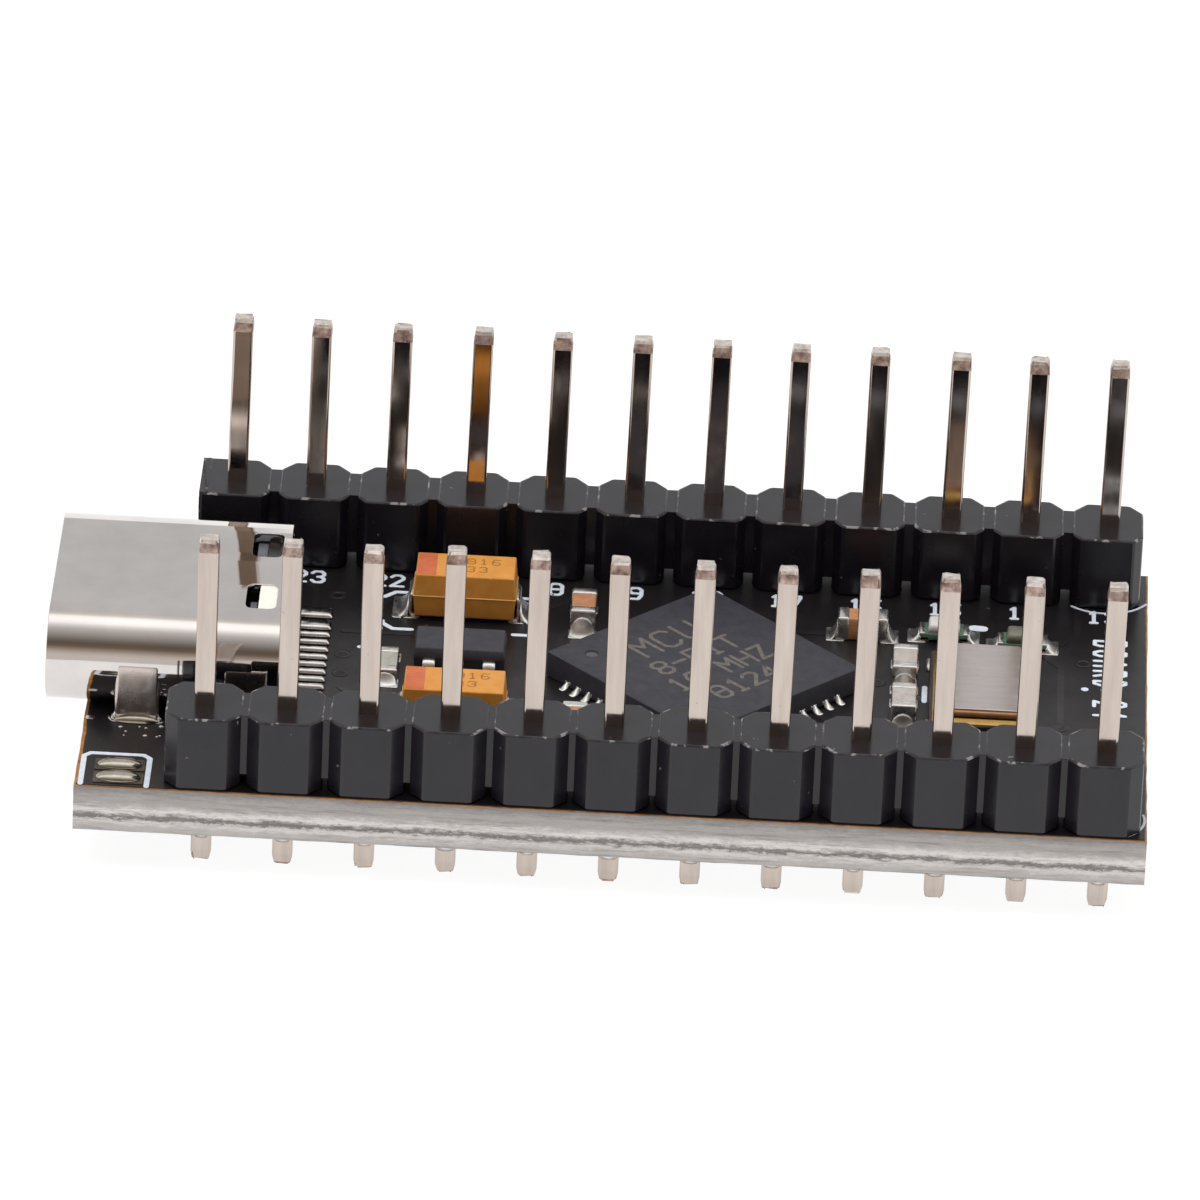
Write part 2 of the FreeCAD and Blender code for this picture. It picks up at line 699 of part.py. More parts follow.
def place_chip(name, angle, pieces):
    """Turn and set down the pieces of one chip, each a list of solids."""
    x, y = "%s + %s_x" % (MIDDLE, name), name + "_y"
    return [move(group("%s_%s" % (name, suffix), solids), x, y, DECK, angle)
            for suffix, solids in pieces.items()]


def make_chip(name, high, angle):
    core = block(name + "_core", "chip_long - 2 * chip_end", "chip_wide - 2 * chip_skin",
                 high + " - 2 * chip_skin", bottom="chip_skin")
    ends = chip_ends(name, high, "(chip_long - chip_end) / 2", "chip_end")
    ramps = chip_ramps(name, high + " * 0.7")
    body, terminals, solder = place_chip(name, angle, {"body": [core], "terminals": ends,
                                                       "ramps": ramps})
    node(body, name + "_body")
    node(terminals, name + "_terminals")
    return solder


def make_led(name, angle):
    substrate = block(name + "_plate", "chip_long - 2 * chip_end", "chip_wide", "substrate_high")
    lens = block(name + "_dome", "lens_long", "chip_wide - 2 * chip_skin", "lens_high",
                 bottom="substrate_high")
    ends = chip_ends(name, "substrate_high", "(chip_long - chip_end) / 2", "chip_end")
    ramps = chip_ramps(name, "substrate_high * 0.9")
    pieces = {"substrate": [substrate], "lens": [lens], "terminals": ends, "ramps": ramps}
    placed = place_chip(name, angle, pieces)
    for item, suffix in zip(placed, ("substrate", "lens", "terminals")):
        node(item, "%s_%s" % (name, suffix))
    return placed[-1]


def make_chips():
    solder = [make_tantalum(name) for name in TANTALUMS]
    for name, (_, _, angle) in CAPACITORS.items():
        solder.append(make_chip(name, "capacitor_high", angle))
    for name, (_, _, angle) in RESISTORS.items():
        solder.append(make_chip(name, "resistor_high", angle))
    for name, (_, _, angle) in LEDS.items():
        solder.append(make_led(name, angle))
    node(group("chip_solder", solder), "chip_solder")


def make_jumper():
    domes = []
    for side, sign in (("near", "-"), ("far", "+")):
        dome = doc.addObject("Part::Ellipsoid", "dome_" + side)
        bind(dome, Radius1="dome_high", Radius2="dome_long", Radius3="dome_wide")
        dome.Angle1 = 0
        domes.append(move(dome, MIDDLE + " + jumper_x", "jumper_y %s jumper_pitch / 2" % sign, DECK))
    node(group("jumper_solder", domes), "jumper_solder")


# ---------------------------------------------------------------- build, check and write
def check(item):
    bad_states = {"Invalid", "Error"} & set(item.State)
    if bad_states:
        raise RuntimeError("%s is %s" % (item.Name, ", ".join(sorted(bad_states))))
    shape = getattr(item, "Shape", None)
    if item.isDerivedFrom("Part::Feature") and (shape is None or shape.isNull() or not shape.isValid()):
        raise RuntimeError("%s has no valid shape" % item.Name)


def main():
    make_circuit_board()
    make_headers()
    make_usb_shell()
    contacts = make_usb_contacts()
    make_usb_insert(contacts)
    make_usb_leg_solder()
    make_mcu()
    make_crystal()
    make_regulator()
    make_chips()
    make_jumper()
    doc.recompute()
    for item in doc.Objects:
        check(item)
    os.makedirs("parts", exist_ok=True)
    for name, item in nodes.items():
        item.Shape.exportStep("parts/%s.step" % name)
        print("%-32s %7.3f mm3 %3d solids" % (name, item.Shape.Volume, len(item.Shape.Solids)))


main()
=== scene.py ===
import math
import random

import bmesh
import bpy
from mathutils import Matrix, Vector


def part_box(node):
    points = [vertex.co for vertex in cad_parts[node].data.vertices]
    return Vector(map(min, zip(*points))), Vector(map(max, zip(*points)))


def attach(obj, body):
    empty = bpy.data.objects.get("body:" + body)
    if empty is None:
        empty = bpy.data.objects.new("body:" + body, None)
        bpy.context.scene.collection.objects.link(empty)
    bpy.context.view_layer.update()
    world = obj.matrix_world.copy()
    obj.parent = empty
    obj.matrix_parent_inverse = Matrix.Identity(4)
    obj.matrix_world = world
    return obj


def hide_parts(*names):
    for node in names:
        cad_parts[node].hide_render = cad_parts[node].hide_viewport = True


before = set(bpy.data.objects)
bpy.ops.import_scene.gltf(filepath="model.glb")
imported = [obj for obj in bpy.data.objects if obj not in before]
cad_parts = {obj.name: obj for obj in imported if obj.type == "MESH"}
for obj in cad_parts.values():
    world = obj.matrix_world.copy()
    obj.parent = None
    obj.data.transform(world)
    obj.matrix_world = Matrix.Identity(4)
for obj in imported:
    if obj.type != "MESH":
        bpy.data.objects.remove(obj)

MM = 0.001
random.seed(7)
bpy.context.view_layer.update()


# ---------------------------------------------------------------- places, in millimetres
def extent(name):
    """Lowest and highest corner of a node."""
    low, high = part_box(name)
    return Vector(low) / MM, Vector(high) / MM


BOARD_LOW, BOARD_HIGH = extent("circuit_board")
DECK = BOARD_HIGH.z
UNDER = BOARD_LOW.z
CENTRE = (BOARD_LOW + BOARD_HIGH) / 2
PINS = 12
PIN_SIDE = 0.64
HOLE_RADIUS = 0.5
HEADERS = {side: extent("header_pins_" + side) for side in ("front", "rear")}
FIRST_PIN = HEADERS["front"][0].x + PIN_SIDE / 2
PITCH = (HEADERS["front"][1].x - PIN_SIDE / 2 - FIRST_PIN) / (PINS - 1)
HOUSING_TOP = extent("header_housing_front")[1].z
SHELL_LOW, SHELL_HIGH = extent("usb_shell")
SHELL_ROUND = 1.58
SHELL_AXIS = SHELL_HIGH.z - SHELL_ROUND
WINDOW_SIDE = 1.75
PEG_X, PEG_SIDE, PEG_RADIUS = SHELL_LOW.x + 6.1, 2.89, 0.3


def pin_place(side, index):
    low, high = HEADERS[side]
    return FIRST_PIN + index * PITCH, (low.y + high.y) / 2


def on_board(x, y):
    """Point given from the board's middle."""
    return CENTRE.x + x, CENTRE.y + y


# ---------------------------------------------------------------- materials
def linear(red, green, blue):
    def channel(value):
        value /= 255
        return value / 12.92 if value <= 0.04045 else ((value + 0.055) / 1.055) ** 2.4
    return channel(red), channel(green), channel(blue), 1.0


class Nodes:
    """Node tree under construction."""

    def __init__(self, tree):
        self.tree = tree
        self.place = tree.nodes.new("ShaderNodeTexCoord")

    def feed(self, socket, value):
        """Link an output to the socket, or set the socket's own value."""
        if isinstance(value, bpy.types.NodeSocket):
            self.tree.links.new(value, socket)
        else:
            socket.default_value = value

    def node(self, kind, **sockets):
        node = self.tree.nodes.new("ShaderNode" + kind)
        for socket, value in sockets.items():
            self.feed(node.inputs[socket.replace("_", " ")], value)
        return node

    def maths(self, operation, *values):
        node = self.node("Math")
        node.operation = operation
        for socket, value in zip(node.inputs, values):
            self.feed(socket, value)
        return node.outputs[0]

    def ramp(self, value, *stops):
        """Colours, or grey levels, at the positions of the stops."""
        node = self.node("ValToRGB", Fac=value)
        elements = node.color_ramp.elements
        while len(elements) < len(stops):
            elements.new(0.5)
        for element, (position, colour) in zip(elements, stops):
            element.position = position
            element.color = colour if isinstance(colour, tuple) else (colour, colour, colour, 1)
        return node.outputs["Color"]


class Surface(Nodes):
    """Node material whose patterns are in the object's own metres."""

    def __init__(self, name, metallic=0.0, specular=0.5):
        self.material = bpy.data.materials.new(name)
        self.material.use_nodes = True
        super().__init__(self.material.node_tree)
        self.shader = self.tree.nodes["Principled BSDF"]
        self.shader.inputs["Metallic"].default_value = metallic
        self.shader.inputs["Specular IOR Level"].default_value = specular

    def noise(self, scale, stretch=(1, 1, 1), detail=4.0, rough=0.6, distortion=0.0):
        mapping = self.node("Mapping", Vector=self.place.outputs["Object"], Scale=stretch)
        return self.node("TexNoise", Vector=mapping.outputs[0], Scale=scale, Detail=detail,
                         Roughness=rough, Distortion=distortion).outputs[0]

    def mix(self, share, first, second):
        """Colour between the first and the second one."""
        node = self.node("Mix")
        node.data_type = "RGBA"
        for socket, value in (("Factor", share), (6, first), (7, second)):
            self.feed(node.inputs[socket], value)
        return node.outputs[2]

    def height(self, axis="Z", low=0.0, high=0.001):
        """0 to 1 between two places along one axis of the object, in metres."""
        split = self.node("SeparateXYZ", Vector=self.place.outputs["Object"])
        return self.node("MapRange", Value=split.outputs[axis], From_Min=low, From_Max=high).outputs[0]

    def colour(self, value):
        self.feed(self.shader.inputs["Base Color"], value)

    def rough(self, value, low, high):
        spread = self.node("MapRange", Value=value, From_Min=0.3, From_Max=0.7, To_Min=low, To_Max=high)
        self.feed(self.shader.inputs["Roughness"], spread.outputs[0])

    def relief(self, value, depth):
        bump = self.node("Bump", Height=value, Distance=depth * MM, Strength=1.0)
        self.feed(self.shader.inputs["Normal"], bump.outputs[0])


def plain_surface(name, dark, light, rough, grain=1500, stretch=(1, 1, 1), relief=0.003,
                  relief_grain=5000, specks=None, speck_level=0.68, **shader):
    """Two-toned material with uneven gloss, fine relief and, if asked, small specks."""
    surface = Surface(name, **shader)
    tone = surface.noise(grain, stretch)
    colour = surface.ramp(tone, (0.32, linear(*dark)), (0.68, linear(*light)))
    if specks:
        dust = surface.ramp(surface.noise(2600, detail=2), (speck_level, 0.0), (speck_level + 0.05, 1.0))
        colour = surface.mix(dust, colour, linear(*specks))
    surface.colour(colour)
    surface.rough(surface.noise(grain * 1.7, stretch), *rough)
    surface.relief(surface.noise(relief_grain, stretch, detail=6), relief)
    return surface.material


# Tone of the board's cut edge from its underside (0) to its top (1).
EDGE_BANDS = [(0.03, 191), (0.14, 203), (0.22, 229), (0.275, 210), (0.32, 128), (0.365, 146), (0.415, 212),
              (0.46, 240), (0.51, 224), (0.56, 203), (0.62, 188), (0.67, 178), (0.75, 184), (0.8, 176),
              (0.87, 163), (0.95, 148)]


def fibre_surface():
    """Cut edge of the glass-fibre board: matted layers above and below a scored line, with painted shadow
    streaked along the strands.
    """
    surface = Surface("fibre_edge", specular=0.3)
    matted = surface.noise(1, (900, 900, 2600), detail=6, rough=0.75)
    frayed = surface.noise(1, (3000, 3000, 8000), detail=5, rough=0.8)
    level = surface.height("Z", UNDER * MM, DECK * MM)
    level = surface.maths("ADD", level, surface.maths("MULTIPLY_ADD", matted, 0.26, -0.13))
    level = surface.maths("ADD", level, surface.maths("MULTIPLY_ADD", frayed, 0.3, -0.15))
    bands = surface.ramp(level, *[(place, linear(tone, tone - 3, tone - 5)) for place, tone in EDGE_BANDS])
    # Dark streaks along the strands: painted shadow mixed over the layer tones.
    strands = surface.noise(1, (500, 500, 11000), detail=7, rough=0.75)
    shade = surface.ramp(strands, (0.38, 0.42), (0.47, 0.1), (0.53, 0.0))
    surface.colour(surface.mix(shade, bands, linear(110, 106, 103)))
    surface.rough(matted, 0.5, 0.75)
    surface.relief(level, 0.08)
    return surface.material


def lid_surface():
    """Steel brushed along X."""
    surface = Surface("lid_steel", metallic=1.0)
    brushed = surface.noise(1, (900, 9000, 900), detail=6)
    surface.colour(surface.ramp(brushed, (0.3, linear(204, 195, 192)), (0.7, linear(212, 204, 201))))
    surface.rough(surface.noise(1500), 0.2, 0.28)
    surface.relief(surface.noise(300), 0.002)
    return surface.material


def shell_surface():
    """Polished sheet, a little buckled towards its back end."""
    surface = Surface("shell_steel", metallic=1.0)
    tone = surface.noise(500)
    surface.colour(surface.ramp(tone, (0.32, linear(208, 203, 201)), (0.68, linear(219, 214, 211))))
    surface.rough(surface.noise(900), 0.035, 0.07)
    rise = surface.height("X", (SHELL_HIGH.x - 3.1) * MM, SHELL_HIGH.x * MM)
    across = surface.height("Y", -0.0029, 0.0029)
    uneven = surface.ramp(across, (0.0, 0.5), (0.155, 0.56), (0.32, 0.74), (0.6, 0.75), (0.7, 0.9),
                          (0.85, 0.93), (0.95, 0.9), (1.0, 0.8))
    surface.relief(surface.maths("MULTIPLY", uneven, rise), 0.2)
    return surface.material


SHEARED = {"grain": 4200, "relief_grain": 4200, "metallic": 1.0}
SOLDERED = {"grain": 2600, "relief_grain": 3200, "metallic": 1.0}
MASK = plain_surface("solder_mask_black", (22, 20, 22), (30, 28, 31), (0.28, 0.42), grain=700,
                     relief=0.004, relief_grain=2600, specks=(96, 92, 92), speck_level=0.735)
TRACE = plain_surface("solder_mask_over_copper", (28, 26, 27), (38, 35, 36), (0.25, 0.38), grain=900)
FIBRE = fibre_surface()
COPPER_EDGE = plain_surface("copper_edge", (134, 88, 44), (186, 134, 74), (0.4, 0.6), grain=2500)
PLASTIC = plain_surface("header_black", (22, 20, 26), (30, 27, 35), (0.2, 0.28), grain=900, relief=0.0012,
                        relief_grain=4000, specks=(128, 124, 124), speck_level=0.735, specular=0.47)
# Broken end of the rear strip: rough plastic lighter in tone, its brownish specks painted glints.
RAW_PLASTIC_AND_GLINTS = plain_surface("header_cut_and_painted_glints", (24, 23, 25), (66, 58, 56), (0.6, 0.8), grain=4000, relief=0.03,
                            relief_grain=4500, specks=(150, 120, 110), speck_level=0.62)
# Lighter upper edges of the headers: partly wear and burrs, partly painted highlight and glints.
WORN_EDGE_AND_HIGHLIGHT = plain_surface("header_worn_edge_and_painted_highlight", (26, 26, 29), (58, 56, 60), (0.3, 0.45), grain=3400,
                          relief=0.03, relief_grain=3400, specks=(150, 147, 148), speck_level=0.58)
PIN = plain_surface("pin_plating", (188, 175, 166), (202, 190, 181), (0.08, 0.13), grain=1,
                    stretch=(3000, 3000, 300), relief=0.0003, relief_grain=1, specks=(150, 134, 124),
                    speck_level=0.74, metallic=1.0)
PIN_BEVEL = plain_surface("pin_sheared_bevel", (122, 100, 96), (206, 184, 172), (0.3, 0.5), relief=0.02,
                          **SHEARED)
PIN_CUT = plain_surface("pin_cut_end", (196, 184, 176), (244, 238, 232), (0.3, 0.5), relief=0.03, **SHEARED)
SOLDER = plain_surface("solder_joint", (206, 204, 202), (232, 231, 230), (0.12, 0.26), relief=0.006,
                       **SOLDERED)
SATIN_SOLDER = plain_surface("solder_satin", (216, 214, 212), (240, 239, 238), (0.26, 0.42), relief=0.008,
                             **SOLDERED)
DULL_SOLDER = plain_surface("solder_fluxed", (170, 165, 150), (196, 192, 180), (0.1, 0.2), relief=0.004,
                            **SOLDERED)
TIN = plain_surface("tin_plating", (222, 220, 217), (244, 242, 239), (0.22, 0.38), grain=3000,
                    relief=0.005, relief_grain=6500, metallic=1.0)
SHELL = shell_surface()
LEG = plain_surface("shell_leg", (200, 188, 182), (214, 203, 198), (0.2, 0.3), grain=900, relief=0.001,
                    metallic=1.0)
INSIDE = plain_surface("inner_plate", (92, 94, 104), (118, 120, 130), (0.4, 0.5))
# Near-white matte colour of the steel tab in the near window: a painted highlight in place of its bright
# reflection.
TAB_PAINTED_HIGHLIGHT = plain_surface("punched_tab_painted_highlight", (246, 243, 232), (255, 253, 244), (0.3, 0.42), grain=2600)
GOLD = plain_surface("contact_gold_plating", (214, 172, 92), (232, 196, 122), (0.22, 0.34), grain=3000,
                     metallic=1.0)
INSERT = plain_surface("insert_black", (12, 12, 14), (22, 22, 25), (0.18, 0.32), grain=1400, relief=0.004)
CHIP = plain_surface("chip_black", (48, 48, 56), (58, 58, 67), (0.5, 0.62), grain=2500, relief=0.006,
                     relief_grain=9000)
LASER = plain_surface("laser_mark", (94, 90, 88), (118, 112, 106), (0.6, 0.75), grain=6000, relief=0.004,
                      relief_grain=9000)
DIMPLE = plain_surface("ejector_mark", (74, 72, 76), (88, 86, 88), (0.35, 0.5), grain=3000)
CERAMIC = plain_surface("ceramic_dark", (44, 30, 38), (60, 44, 52), (0.35, 0.5), grain=3200, relief=0.006)
RING = plain_surface("ring_gold_plating", (246, 192, 96), (255, 222, 138), (0.3, 0.4), grain=2600,
                     metallic=1.0)
RING_COPPER = plain_surface("ring_copper", (196, 142, 100), (214, 164, 122), (0.42, 0.55), grain=2600,
                            metallic=0.6)
# Dark brown band of the ring's groove: painted shade under the flange.
RING_SHADE = plain_surface("ring_groove_painted_shade", (66, 36, 16), (96, 58, 28), (0.5, 0.6), grain=2600)
# Dark tone of the jumper's tinned lands: painted dark reflection.
DULL = plain_surface("land_painted_dark_reflection", (84, 76, 66), (116, 106, 92), (0.3, 0.45), grain=2600, metallic=0.7)
LID = lid_surface()
FLASH = plain_surface("tantalum_flash", (222, 172, 92), (236, 190, 112), (0.5, 0.6), grain=2500)
TANTALUM = plain_surface("tantalum_case", (214, 142, 56), (226, 158, 70), (0.42, 0.56), grain=1800,
                         relief=0.006, relief_grain=7000, specks=(236, 190, 120), speck_level=0.72)
STRIPE = plain_surface("polarity_bar", (196, 98, 56), (212, 116, 70), (0.45, 0.6), grain=2600)
BURN = plain_surface("burnt_mark", (168, 106, 46), (188, 124, 60), (0.55, 0.7), grain=6000)
CERAMIC_BROWN = plain_surface("capacitor_ceramic_brown", (176, 120, 82), (198, 142, 102), (0.4, 0.55),
                              grain=3400, relief=0.006)
CERAMIC_GREY = plain_surface("capacitor_ceramic_grey", (172, 166, 160), (196, 190, 184), (0.35, 0.5),
                             grain=3400, relief=0.006)
RESISTOR = plain_surface("resistor_glaze", (20, 20, 23), (34, 34, 38), (0.2, 0.34), grain=3000)
ALUMINA = plain_surface("resistor_alumina", (214, 212, 208), (236, 234, 230), (0.5, 0.65), grain=3600)
FUSE = plain_surface("fuse_body", (168, 168, 158), (194, 193, 184), (0.3, 0.45), grain=3000)
LED_PLATE = plain_surface("led_laminate", (66, 98, 84), (104, 132, 118), (0.45, 0.6), grain=3200)
LENS = plain_surface("led_resin_white", (214, 212, 210), (236, 234, 232), (0.12, 0.22), grain=3000,
                     relief=0.002)
SMOKED_LENS = plain_surface("led_resin_grey", (106, 106, 94), (134, 132, 120), (0.12, 0.22), grain=3000,
                            relief=0.002)
SILK = plain_surface("silkscreen_ink", (212, 224, 240), (236, 243, 252), (0.5, 0.65), grain=5000,
                     relief=0.006, relief_grain=9000)
# Near-black disc in each via's dip: painted shade standing in for the hole.
VIA = plain_surface("via_hole_painted_shade", (6, 6, 7), (14, 13, 14), (0.3, 0.5), grain=5000)
QUARTZ = plain_surface("quartz", (220, 224, 228), (240, 242, 244), (0.08, 0.16), grain=3000)
SILICON = plain_surface("silicon", (84, 88, 98), (120, 124, 132), (0.12, 0.22), grain=3000, metallic=0.6)


# ---------------------------------------------------------------- mesh building, in millimetres
def ring(x, y, half_x, half_y, radius, z, steps=3):
    """Rectangle with round corners, as points in order."""
    radius = min(radius, half_x, half_y)
    points = []
    for corner, (sign_x, sign_y) in enumerate(((1, 1), (-1, 1), (-1, -1), (1, -1))):
        for step in range(steps + 1):
            angle = math.radians(90 * (corner + step / steps))
            points.append(Vector((x + sign_x * (half_x - radius) + radius * math.cos(angle),
                                  y + sign_y * (half_y - radius) + radius * math.sin(angle), z)))
    return points


def disc(x, y, radius, z, steps=20):
    """Circle, as points in order."""
    return [Vector((x + radius * math.cos(2 * math.pi * step / steps),
                    y + radius * math.sin(2 * math.pi * step / steps), z)) for step in range(steps)]


def bridge(solid, rows):
    """Faces from each closed row of vertices to the next row."""
    for row, following in zip(rows, rows[1:]):
        for index in range(len(row)):
            after = (index + 1) % len(row)
            solid.faces.new((row[index], row[after], following[after], following[index]))


def loft(rings):
    """Closed solid through rings of equally many points."""
    solid = bmesh.new()
    rows = [[solid.verts.new(point) for point in points] for points in rings]
    bridge(solid, rows)
    solid.faces.new(list(reversed(rows[0])))
    solid.faces.new(rows[-1])
    bmesh.ops.recalc_face_normals(solid, faces=solid.faces[:])
    return solid


def soft_levels(low, high, radius):
    """Level and inset of each ring of a block with rounded top and bottom edges."""
    arc = [(0.0, 1.0), (0.29, 0.29), (1.0, 0.0)]
    rise = [(low + radius * up, radius * inset) for up, inset in arc]
    return rise + [(high - radius * up, radius * inset) for up, inset in reversed(arc)]


def block(low, high, edge=0.04, corner=None, levels=None):
    """Box with rounded edges. Levels may give its own outline from bottom to top."""
    x, y = (low[0] + high[0]) / 2, (low[1] + high[1]) / 2
    half_x, half_y = (high[0] - low[0]) / 2, (high[1] - low[1]) / 2
    corner = edge if corner is None else corner
    rings = [ring(x, y, half_x - inset, half_y - inset, max(corner - inset * 0.4, 0.005), level)
             for level, inset in (levels or soft_levels(low[2], high[2], edge))]
    return loft(rings)


def capsule(start, end, width, low, high, steps=5):
    """Flat bar with round ends between two points."""
    start, end = Vector(start), Vector(end)
    direction = math.atan2(end.y - start.y, end.x - start.x)
    outline = []
    for point, turn in ((end, -90), (start, 90)):
        for step in range(steps + 1):
            angle = direction + math.radians(turn + 180 * step / steps)
            outline.append((point.x + width / 2 * math.cos(angle), point.y + width / 2 * math.sin(angle)))
    return loft([[Vector((x, y, level)) for x, y in outline] for level in (low, high)])


def temporary(solid):
    """Object that holds the solid for a while."""
    mesh = bpy.data.meshes.new("temporary")
    solid.to_mesh(mesh)
    solid.free()
    item = bpy.data.objects.new("temporary", mesh)
    bpy.context.scene.collection.objects.link(item)
    return item


def worked(item):
    """Mesh of the item with its modifiers applied."""
    bpy.context.view_layer.update()
    return bpy.data.meshes.new_from_object(item.evaluated_get(bpy.context.evaluated_depsgraph_get()))


def solid_of(mesh):
    """The mesh as a solid; the mesh itself goes."""
    solid = bmesh.new()
    solid.from_mesh(mesh)
    bpy.data.meshes.remove(mesh)
    return solid


def carve(solid, cutters):
    """The solid less the cutters."""
    body = temporary(solid)
    tools = [temporary(cutter) for cutter in cutters]
    for tool in tools:
        modifier = body.modifiers.new("carve", "BOOLEAN")
        modifier.object = tool
        modifier.operation = "DIFFERENCE"
        modifier.solver = "EXACT"
    result = solid_of(worked(body))
    for item in (body, *tools):
        bpy.data.meshes.remove(item.data)
    return result


class Piece:
    """One object under construction."""

    def __init__(self, name, *materials):
        self.name = name
        self.materials = materials
        self.solid = bmesh.new()

    def add(self, solid, material=0, matrix=None, flat=lambda face: False):
        """Join a solid on; the faces that `flat` picks keep a flat shading."""
        if matrix:
            solid.transform(matrix)
        for face in solid.faces:
            face.smooth = not flat(face)
            if material is not None:
                face.material_index = material
        mesh = bpy.data.meshes.new("addition")
        solid.to_mesh(mesh)
        solid.free()
        self.solid.from_mesh(mesh)
        bpy.data.meshes.remove(mesh)
        return self

    def finish(self, slot, *replaced, bevel=None, sharp=None):
        """Make the object, in metres, with bevelled edges or an angle for sharp ones if asked."""
        mesh = bpy.data.meshes.new(self.name)
        self.solid.to_mesh(mesh)
        self.solid.free()
        item = bpy.data.objects.new(self.name, mesh)
        for material in self.materials:
            mesh.materials.append(material)
        bpy.context.scene.collection.objects.link(item)
        if bevel:
            modifier = item.modifiers.new("edges", "BEVEL")
            modifier.width = bevel
            modifier.segments = 2
            modifier.limit_method = "ANGLE"
            modifier.angle_limit = math.radians(50)
            item.data = worked(item)
            item.modifiers.clear()
        item.data.transform(Matrix.Scale(MM, 4))
        if sharp:
            smooth = [polygon.use_smooth for polygon in item.data.polygons]
            item.data.set_sharp_from_angle(angle=math.radians(sharp))
            item.data.polygons.foreach_set("use_smooth", smooth)
        else:
            item.modifiers.new("normals", "WEIGHTED_NORMAL").keep_sharp = True
        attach(item, "root")
        if replaced:
            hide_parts(*replaced)


def turned(x, y, degrees, z=0):
    """Placement at a point, turned about the vertical."""
    return Matrix.Translation((x, y, z)) @ Matrix.Rotation(math.radians(degrees), 4, "Z")


# ---------------------------------------------------------------- strokes for the printed marks
# Lines of each glyph through points of a grid, 0 to 4 across and 0 to 6 up.
GLYPHS = {
    "0": "10 30 41 45 36 16 05 01 10|13 33",
    "1": "15 26 20|10 30",
    "2": "05 16 36 45 44 00 40",
    "3": "05 16 36 45 44 33 42 41 30 10 01|23 33",
    "4": "30 36 02 42",
    "5": "46 06 03 33 42 41 30 00",
    "6": "46 16 04 01 10 30 41 42 33 03",
    "7": "06 46 45 20",
    "8": "13 02 01 10 30 41 42 33 13 04 05 16 36 45 44 33",
    "9": "00 30 42 45 36 16 05 04 13 43",
    "A": "00 04 26 44 40|02 42",
    "B": "00 06 36 45 44 33 03|33 42 41 30 00",
    "C": "45 36 16 05 01 10 30 41",
    "D": "00 06 26 44 42 20 00",
    "E": "46 06 00 40|03 33",
    "H": "00 06|40 46|03 43",
    "I": "20 26|10 30|16 36",
    "M": "00 06 23 46 40",
    "N": "00 06 40 46",
    "O": "10 30 41 45 36 16 05 01 10",
    "P": "00 06 36 45 44 33 03",
    "R": "00 06 36 45 44 33 03|23 40",
    "T": "20 26|06 46",
    "U": "06 01 10 30 41 46",
    "V": "06 20 46",
    "Z": "06 46 00 40",
    "-": "03 43",
    " ": "",
}


def strokes(glyph):
    """Lines of a glyph, as points in the unit square."""
    for line in filter(None, GLYPHS[glyph].split("|")):
        yield [(int(pair[0]) / 4, int(pair[1]) / 6) for pair in line.split()]


def print_line(piece, points, width, low, high, material=0, matrix=None):
    for start, end in zip(points, points[1:]):
        uneven = random.random() * 0.002
        piece.add(capsule((*start, 0), (*end, 0), width, low - uneven, high + uneven), material, matrix)


def print_text(piece, text, place, letters, levels, material=0, mirror=False):
    """Centred line of text in strokes; the letters are a width, height, gap and stroke."""
    wide, tall, gap, stroke = letters
    advance = wide + gap
    start = -(advance * len(text) - gap) / 2
    for index, glyph in enumerate(text):
        for line in strokes(glyph):
            points = [(start + index * advance + wide * across, tall * (up - 0.5)) for across, up in line]
            if mirror:
                points = [(-across, up) for across, up in points]
            print_line(piece, points, stroke, *levels, material, place)


# ---------------------------------------------------------------- board
def ragged_outline(inset, jitter, bare=0.0):
    """Board outline with small dents of the routed edge, drawn in further at the left end if asked."""
    low, high = BOARD_LOW, BOARD_HIGH
    corners = [(low.x, low.y), (high.x, low.y), (high.x, high.y), (low.x, high.y)]
    points = []
    for start, end in zip(corners, corners[1:] + corners[:1]):
        run = Vector(end) - Vector(start)
        count = round(run.length / 0.6)
        inward = Vector((-run.y, run.x)).normalized()
        for step in range(count):
            shift = inset + (random.random() * jitter if step else inset * 0.4)
            if step and start[0] == end[0] == low.x:
                shift += bare * random.uniform(0.5, 1.2)
            along = Vector(start) + run * step / count + inward * shift
            if not step:
                along += run.normalized() * shift
            points.append(along)
    return points


def sheet(outline, holes, low, high):
    """Flat sheet with holes."""
    curve = bpy.data.curves.new("outline", "CURVE")
    curve.dimensions = "2D"
    curve.fill_mode = "BOTH"
    curve.extrude = (high - low) / 2
    for points in [outline] + holes:
        spline = curve.splines.new("POLY")
        spline.points.add(len(points) - 1)
        for point, place in zip(spline.points, points):
            point.co = (place[0], place[1], 0, 1)
        spline.use_cyclic_u = True
    item = bpy.data.objects.new("outline", curve)
    bpy.context.scene.collection.objects.link(item)
    solid = solid_of(worked(item))
    bpy.data.curves.remove(curve)
    bmesh.ops.translate(solid, verts=solid.verts[:], vec=(0, 0, (low + high) / 2))
    bmesh.ops.remove_doubles(solid, verts=solid.verts[:], dist=1e-4)
    return solid


LEG_LONG, LEG_SIDE = 1.4, (SHELL_HIGH.y - SHELL_LOW.y) / 2 - 0.15
LEG_MIDDLES = [SHELL_LOW.x + reach + LEG_LONG / 2 for reach in (2.2, 5.55)]
LEG_PLACES = [(x, y) for x in LEG_MIDDLES for y in (-LEG_SIDE, LEG_SIDE)]
SLOT_HALF_LONG, SLOT_HALF_WIDE = LEG_LONG / 2 + 0.175, 0.3


